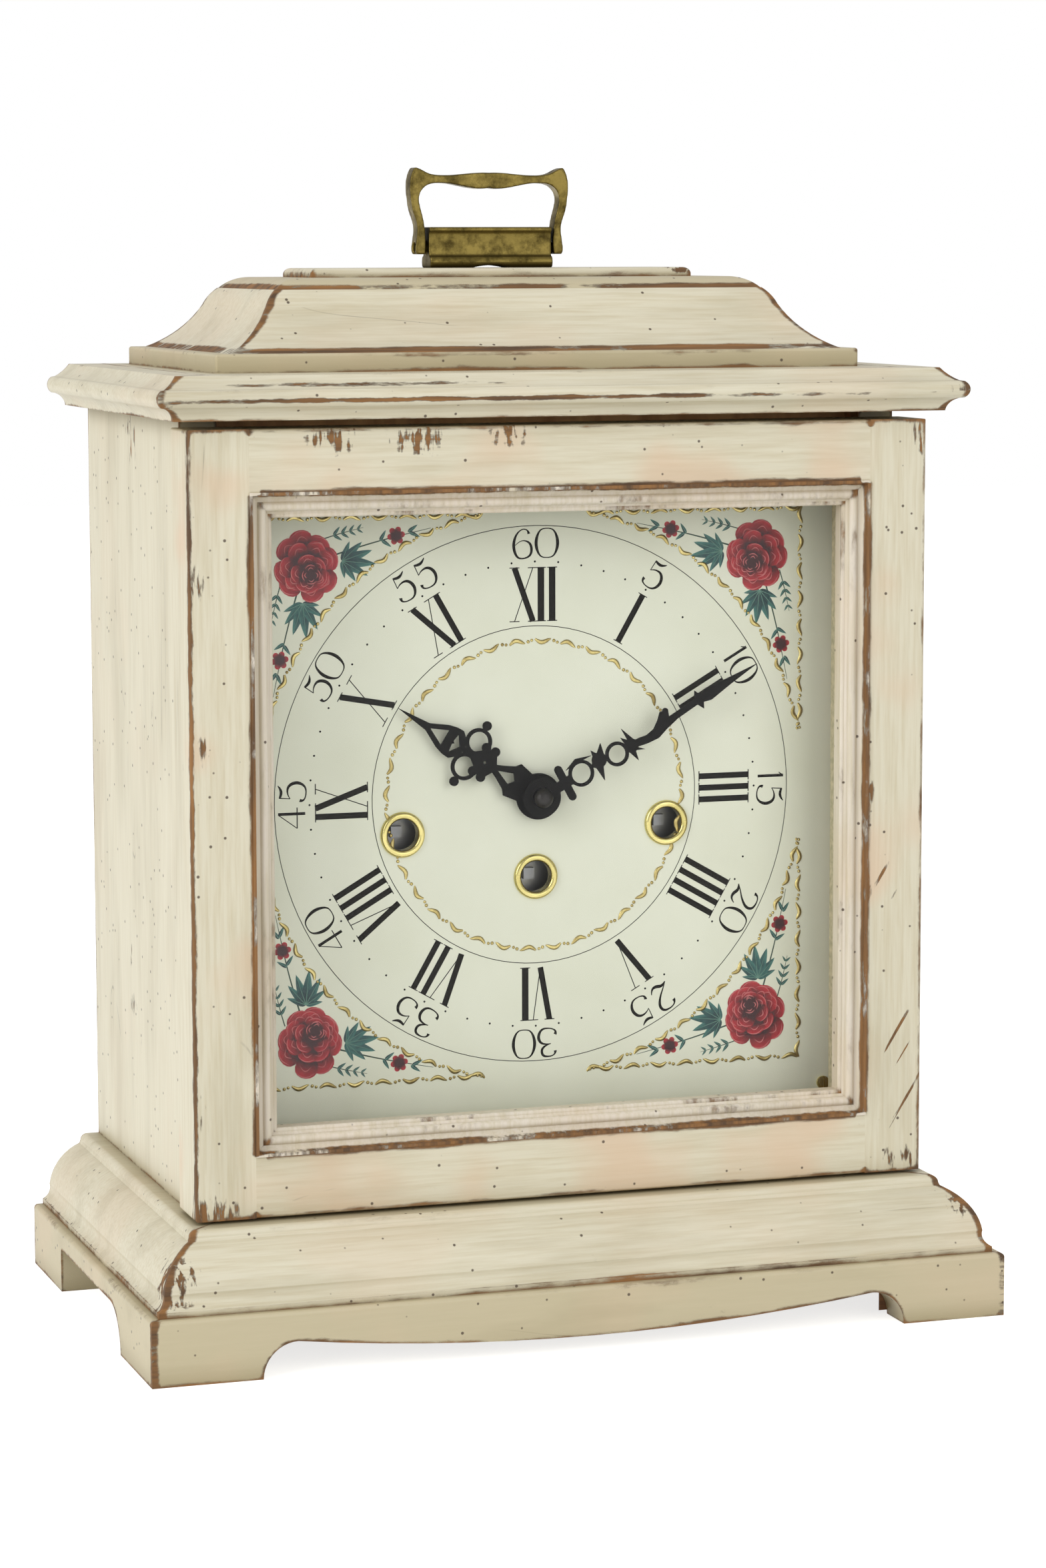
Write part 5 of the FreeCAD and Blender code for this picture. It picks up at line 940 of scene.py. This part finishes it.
class CLOCK_OT_paint_roses(bpy.types.Operator):
    """Paint a spray of folk roses in each corner of the dial"""

    bl_idname = "clock.paint_roses"
    bl_label = "Paint the roses"

    def execute(self, context):
        flowers = context.scene.clock_flowers
        place, radius, leaf = flowers.place / MM, flowers.radius / MM, flowers.leaf / MM
        petals, leaves, lips, veins, stems = [], [], [], [], []

        def on_arm(points):
            """Points drawn for one arm, moved to the corner and the arm in hand."""
            return [(right * (rise if swap else across), up * (across if swap else rise), half)
                    for across, rise, half in points]

        def add_leaf(across, rise, bearing, length, level):
            """A leaf on the arm in hand, with its light midrib."""
            root = (rise, across) if swap else (across, rise)
            tip = on_dial(0, length, 90 - bearing if swap else bearing)
            leaves.append(((right * root[0], up * root[1]),
                           math.degrees(math.atan2(right * tip[0], up * tip[1])), length, length * 0.37,
                           level, (-0.1, 0.4, 0.5), 0.86))
            rib = [(right * (root[0] + share * tip[0]), up * (root[1] + share * tip[1]), half)
                   for share, half in ((0, 0.14), (0.5, 0.1), (0.9, 0.03))]
            veins.append((rib, False, True))

        for right, up in CORNERS:
            rose, lines = open_rose((right * place, up * place), radius, 11 * right * up)
            petals += rose
            lips += lines
            # The two arms of the spray are alike on either side of the corner's diagonal
            for swap in (False, True):
                stems.append((on_arm([(place + x, place + z, half) for x, z, half in STEM_LINE]), False,
                              True))
                for k, (bearing, length) in enumerate(LEAF_FAN):
                    add_leaf(place + 1.0, place - 11.0, bearing, leaf * length, 0.034 + 0.002 * k)
                for k, (x, z, bearing) in enumerate(BUD_LEAVES):
                    add_leaf(place + x, place + z, bearing, leaf * 0.42, 0.034 + 0.002 * k)
                (across, rise, _), = on_arm([(place + 8.0, place - 27.4, 0)])
                for k in range(6):
                    petals.append(((across, rise), k * 60 + 20, 2.7, 2.2, 0.06 + 0.003 * k,
                                   (-0.9, 0.95, 0.1)))
                # A sprig of small leaves beside the rose, along the border
                for k in range(4):
                    for side in (-1, 1):
                        add_leaf(place - 8.5 - 2.4 * k, place + 8.6 + 0.5 * k, 280 + side * 42,
                                 leaf * (0.36 - 0.04 * k), 0.03 + 0.001 * k)
                stems.append((on_arm([(place + x, place + z, half) for x, z, half in SPRIG_LINE]), False,
                              True))
        red = hand_painted("Red painter's enamel", flowers.red_dark, flowers.red)
        green = hand_painted("Green painter's enamel", flowers.green_dark, flowers.green)
        light, pale, stalk = (
            coated(name + " painter's enamel", colour, linear(other), 0.45, 0.5 * MM, 0.02 * MM)
            for name, colour, other in (("Pink", flowers.pink, "#C36468"),
                                        ("Sage", linear("#6E9A8A"), "#5C8878"),
                                        ("Stem", flowers.stem, "#24402F")))
        lay_on_dial(flower_mesh("rose_petals", petals), red, False)
        lay_on_dial(flower_mesh("rose_leaves", leaves), green, False)
        lay_on_dial(stroke_mesh("rose_lights", lips, 0.1, 0.14 * MM, 3), light)
        lay_on_dial(stroke_mesh("leaf_ribs", veins, 0.1, 0.05 * MM, 3), pale)
        lay_on_dial(stroke_mesh("rose_stems", stems, 0.08, 0.0, 4), stalk)
        return {"FINISHED"}


class CLOCK_OT_blacken_hands(bpy.types.Operator):
    """Paint the hands black and finish the nut that holds them"""

    bl_idname = "clock.blacken_hands"
    bl_label = "Blacken the hands"

    def execute(self, context):
        metal = context.scene.clock_metal
        black = coated("Matt black stoving paint on steel", metal.black, linear("#181716"), 0.55,
                       0.35 * MM, 0.04 * MM, 0.1)
        dress(["hour_hand", "minute_hand"], black)
        dress(["hand_nut"], brushed_metal("Burnished dark steel", linear("#3C3A39"), linear("#232221"), 0.26,
                                          "x"))
        return {"FINISHED"}


class CLOCK_OT_cast_handle(bpy.types.Operator):
    """Round the cast bail and its bracket and give them an antique brass finish"""

    bl_idname = "clock.cast_handle"
    bl_label = "Cast the handle"

    def execute(self, context):
        metal = context.scene.clock_metal
        antique = cast_metal("Antiqued cast brass", metal.antique, metal.patina, 0.34, 0.9 * MM, 3 * MM)
        for node, name, body in (("handle_bail", "cast_bail", "bail"),
                                 ("handle_bracket", "cast_bracket", CASE)):
            bm = bmesh.new()
            bm.from_mesh(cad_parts[node].data)
            bmesh.ops.remove_doubles(bm, verts=bm.verts[:], dist=0.001 * MM)
            form = bpy.data.objects.new(name + "_form", closed_mesh(bm, name + "_form"))
            skin = form.modifiers.new("Casting grain", "REMESH")
            skin.mode = "VOXEL"
            skin.voxel_size = metal.voxel
            ease = form.modifiers.new("Rounded edges", "SMOOTH")
            ease.factor = 0.5
            ease.iterations = 5
            piece = place_mesh(evaluated_mesh(form, name), antique, body)
            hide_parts(node)
            dress([node], antique)
        return {"FINISHED"}


class CLOCK_OT_finish_case_brass(bpy.types.Operator):
    """Finish the hinges, the catch, the back latch and the rings of the winding holes"""

    bl_idname = "clock.finish_case_brass"
    bl_label = "Finish the case's brass"

    def execute(self, context):
        metal = context.scene.clock_metal
        dress(CASE_BRASS, cast_metal("Aged pressed brass", metal.plate, linear("#6A5430"), 0.32, 0.6 * MM,
                                     1.5 * MM))
        dress(["winding_grommets"], brushed_metal("Polished lacquered brass", metal.polished,
                                                  linear("#A3964F"), 0.14, "x"))
        dress(["dial_screws", "silent_lever"], brushed_metal("Plated brass", metal.polished,
                                                             linear("#A98443"), 0.22, "z"))
        return {"FINISHED"}


class CLOCK_OT_finish_movement(bpy.types.Operator):
    """Finish the plates, wheels, steel parts and the iron block of the movement"""

    bl_idname = "clock.finish_movement"
    bl_label = "Finish the movement"

    def execute(self, context):
        metal = context.scene.clock_metal
        dress(TURNED_STEEL, brushed_metal("Turned steel", metal.steel, linear("#6C6C6D"), 0.28, "y"))
        dress(["rod_block"], coated("Rough cast iron, blackened", metal.iron, linear("#3A3634"), 0.8,
                                    1.2 * MM, 0.3 * MM))
        rest = [name for name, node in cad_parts.items() if "dressed" not in node]
        dress(rest, brushed_metal("Rolled clock brass", metal.plate, linear("#9A7C42"), 0.3, "x"))
        return {"FINISHED"}


class CLOCK_OT_set_stage(bpy.types.Operator):
    """Lay the pale floor and set the camera and the lamps"""

    bl_idname = "clock.set_stage"
    bl_label = "Set the stage"

    def execute(self, context):
        stage, scene = context.scene.clock_stage, context.scene
        bm = bmesh.new()
        bmesh.ops.create_grid(bm, x_segments=1, y_segments=1, size=4)
        floor = bpy.data.objects.new("pale_floor", closed_mesh(bm, "pale_floor"))
        scene.collection.objects.link(floor)
        floor.data.materials.append(self.floor_material())
        self.set_world(scene, stage.surround)
        aim = Vector(stage.aim)
        sight = Vector((math.sin(stage.yaw) * math.cos(stage.pitch),
                        math.cos(stage.yaw) * math.cos(stage.pitch), -math.sin(stage.pitch)))
        right = Vector((math.cos(stage.yaw), -math.sin(stage.yaw), 0))
        up = right.cross(sight)
        turned_right = right * math.cos(stage.roll) + up * math.sin(stage.roll)
        turned_up = up * math.cos(stage.roll) - right * math.sin(stage.roll)
        axes = Matrix((turned_right, turned_up, -sight)).transposed().to_4x4()
        camera = bpy.data.objects.new("camera", bpy.data.cameras.new("camera"))
        camera.data.sensor_width = 36
        camera.data.lens = stage.lens
        camera.matrix_world = Matrix.Translation(aim - sight * stage.distance) @ axes
        scene.collection.objects.link(camera)
        scene.camera = camera
        for name, power, spot in (("key_lamp", stage.key, KEY_SPOT), ("fill_lamp", stage.fill, FILL_SPOT)):
            lamp = bpy.data.lights.new(name, "AREA")
            lamp.energy = power
            lamp.shape = "SQUARE"
            lamp.size = LAMP_SIZE
            holder = bpy.data.objects.new(name, lamp)
            toward = (aim - Vector(spot)).to_track_quat("-Z", "Y")
            holder.matrix_world = Matrix.Translation(spot) @ toward.to_matrix().to_4x4()
            scene.collection.objects.link(holder)
        scene.view_settings.view_transform = "Standard"
        return {"FINISHED"}

    def floor_material(self):
        """Matt white card: white to the eye and in reflections, and it keeps the soft shadow."""
        material, tree = new_material("Matt white card")
        rays = add(tree, "LightPath")
        seen = maths(tree, "MAXIMUM", rays.outputs["Is Camera Ray"], rays.outputs["Is Glossy Ray"])
        seen = maths(tree, "MAXIMUM", seen, rays.outputs["Is Transmission Ray"])
        grain = noise(tree, own_place(tree), 2 * MM, 2.0)
        bump = add(tree, "Bump", {"Strength": 0.1, "Distance": 0.05 * MM, "Height": grain})
        card = add(tree, "BsdfDiffuse", {"Color": linear("#E4E4E2"), "Normal": bump.outputs[0]})
        glow = add(tree, "Emission", {"Color": linear("#FFFFFF"), "Strength": 0.74})
        bright = add(tree, "AddShader", {0: card.outputs[0], 1: glow.outputs[0]})
        return close_material(material, add(tree, "MixShader", {0: seen, 1: card.outputs[0],
                                                                2: bright.outputs[0]}))

    def set_world(self, scene, strength):
        """Even light all round, and plain white where the camera sees past the floor."""
        world = bpy.data.worlds.new("soft_surround")
        world.use_nodes = True
        tree = world.node_tree
        tree.nodes.clear()
        rays = add(tree, "LightPath")
        even = add(tree, "Background", {"Color": linear("#FFFFFF"), "Strength": strength})
        white = add(tree, "Background", {"Color": linear("#FFFFFF"), "Strength": 1.0})
        shader = add(tree, "MixShader", {0: rays.outputs["Is Camera Ray"], 1: even.outputs[0],
                                         2: white.outputs[0]})
        add(tree, "OutputWorld", {"Surface": shader.outputs[0]})
        scene.world = world


class CLOCK_PT_finish(bpy.types.Panel):
    """Sizes, colours and steps of the clock's finish"""

    bl_idname = "CLOCK_PT_finish"
    bl_label = "Bracket clock finish"
    bl_space_type = "VIEW_3D"
    bl_region_type = "UI"
    bl_category = "Clock"

    def draw(self, context):
        for group in ("clock_paint", "clock_dial", "clock_flowers", "clock_metal", "clock_stage"):
            box = self.layout.box()
            settings = getattr(context.scene, group)
            for name in settings.bl_rna.properties.keys():
                if name not in ("rna_type", "name"):
                    box.prop(settings, name)
        for operator in OPERATORS:
            self.layout.operator(operator.bl_idname)


GROUPS = {"clock_paint": ClockPaint, "clock_dial": ClockDial, "clock_flowers": ClockFlowers,
          "clock_metal": ClockMetal, "clock_stage": ClockStage}
OPERATORS = (CLOCK_OT_paint_case, CLOCK_OT_paint_door, CLOCK_OT_finish_boards, CLOCK_OT_glaze_door,
             CLOCK_OT_enamel_dial, CLOCK_OT_print_dial, CLOCK_OT_letter_lever, CLOCK_OT_gild_dial,
             CLOCK_OT_paint_roses, CLOCK_OT_blacken_hands, CLOCK_OT_cast_handle,
             CLOCK_OT_finish_case_brass, CLOCK_OT_finish_movement, CLOCK_OT_set_stage)


def register():
    for made in (*GROUPS.values(), *OPERATORS, CLOCK_PT_finish):
        bpy.utils.register_class(made)
    for name, group in GROUPS.items():
        setattr(bpy.types.Scene, name, bpy.props.PointerProperty(type=group))


def unregister():
    for name in GROUPS:
        delattr(bpy.types.Scene, name)
    for made in (CLOCK_PT_finish, *reversed(OPERATORS), *reversed(list(GROUPS.values()))):
        bpy.utils.unregister_class(made)


def main():
    register()
    bpy.ops.clock.paint_case()
    bpy.ops.clock.paint_door()
    bpy.ops.clock.finish_boards()
    bpy.ops.clock.glaze_door()
    bpy.ops.clock.enamel_dial()
    bpy.ops.clock.print_dial()
    bpy.ops.clock.letter_lever()
    bpy.ops.clock.gild_dial()
    bpy.ops.clock.paint_roses()
    bpy.ops.clock.blacken_hands()
    bpy.ops.clock.cast_handle()
    bpy.ops.clock.finish_case_brass()
    bpy.ops.clock.finish_movement()
    bpy.ops.clock.set_stage()


if __name__ == "__main__":
    main()
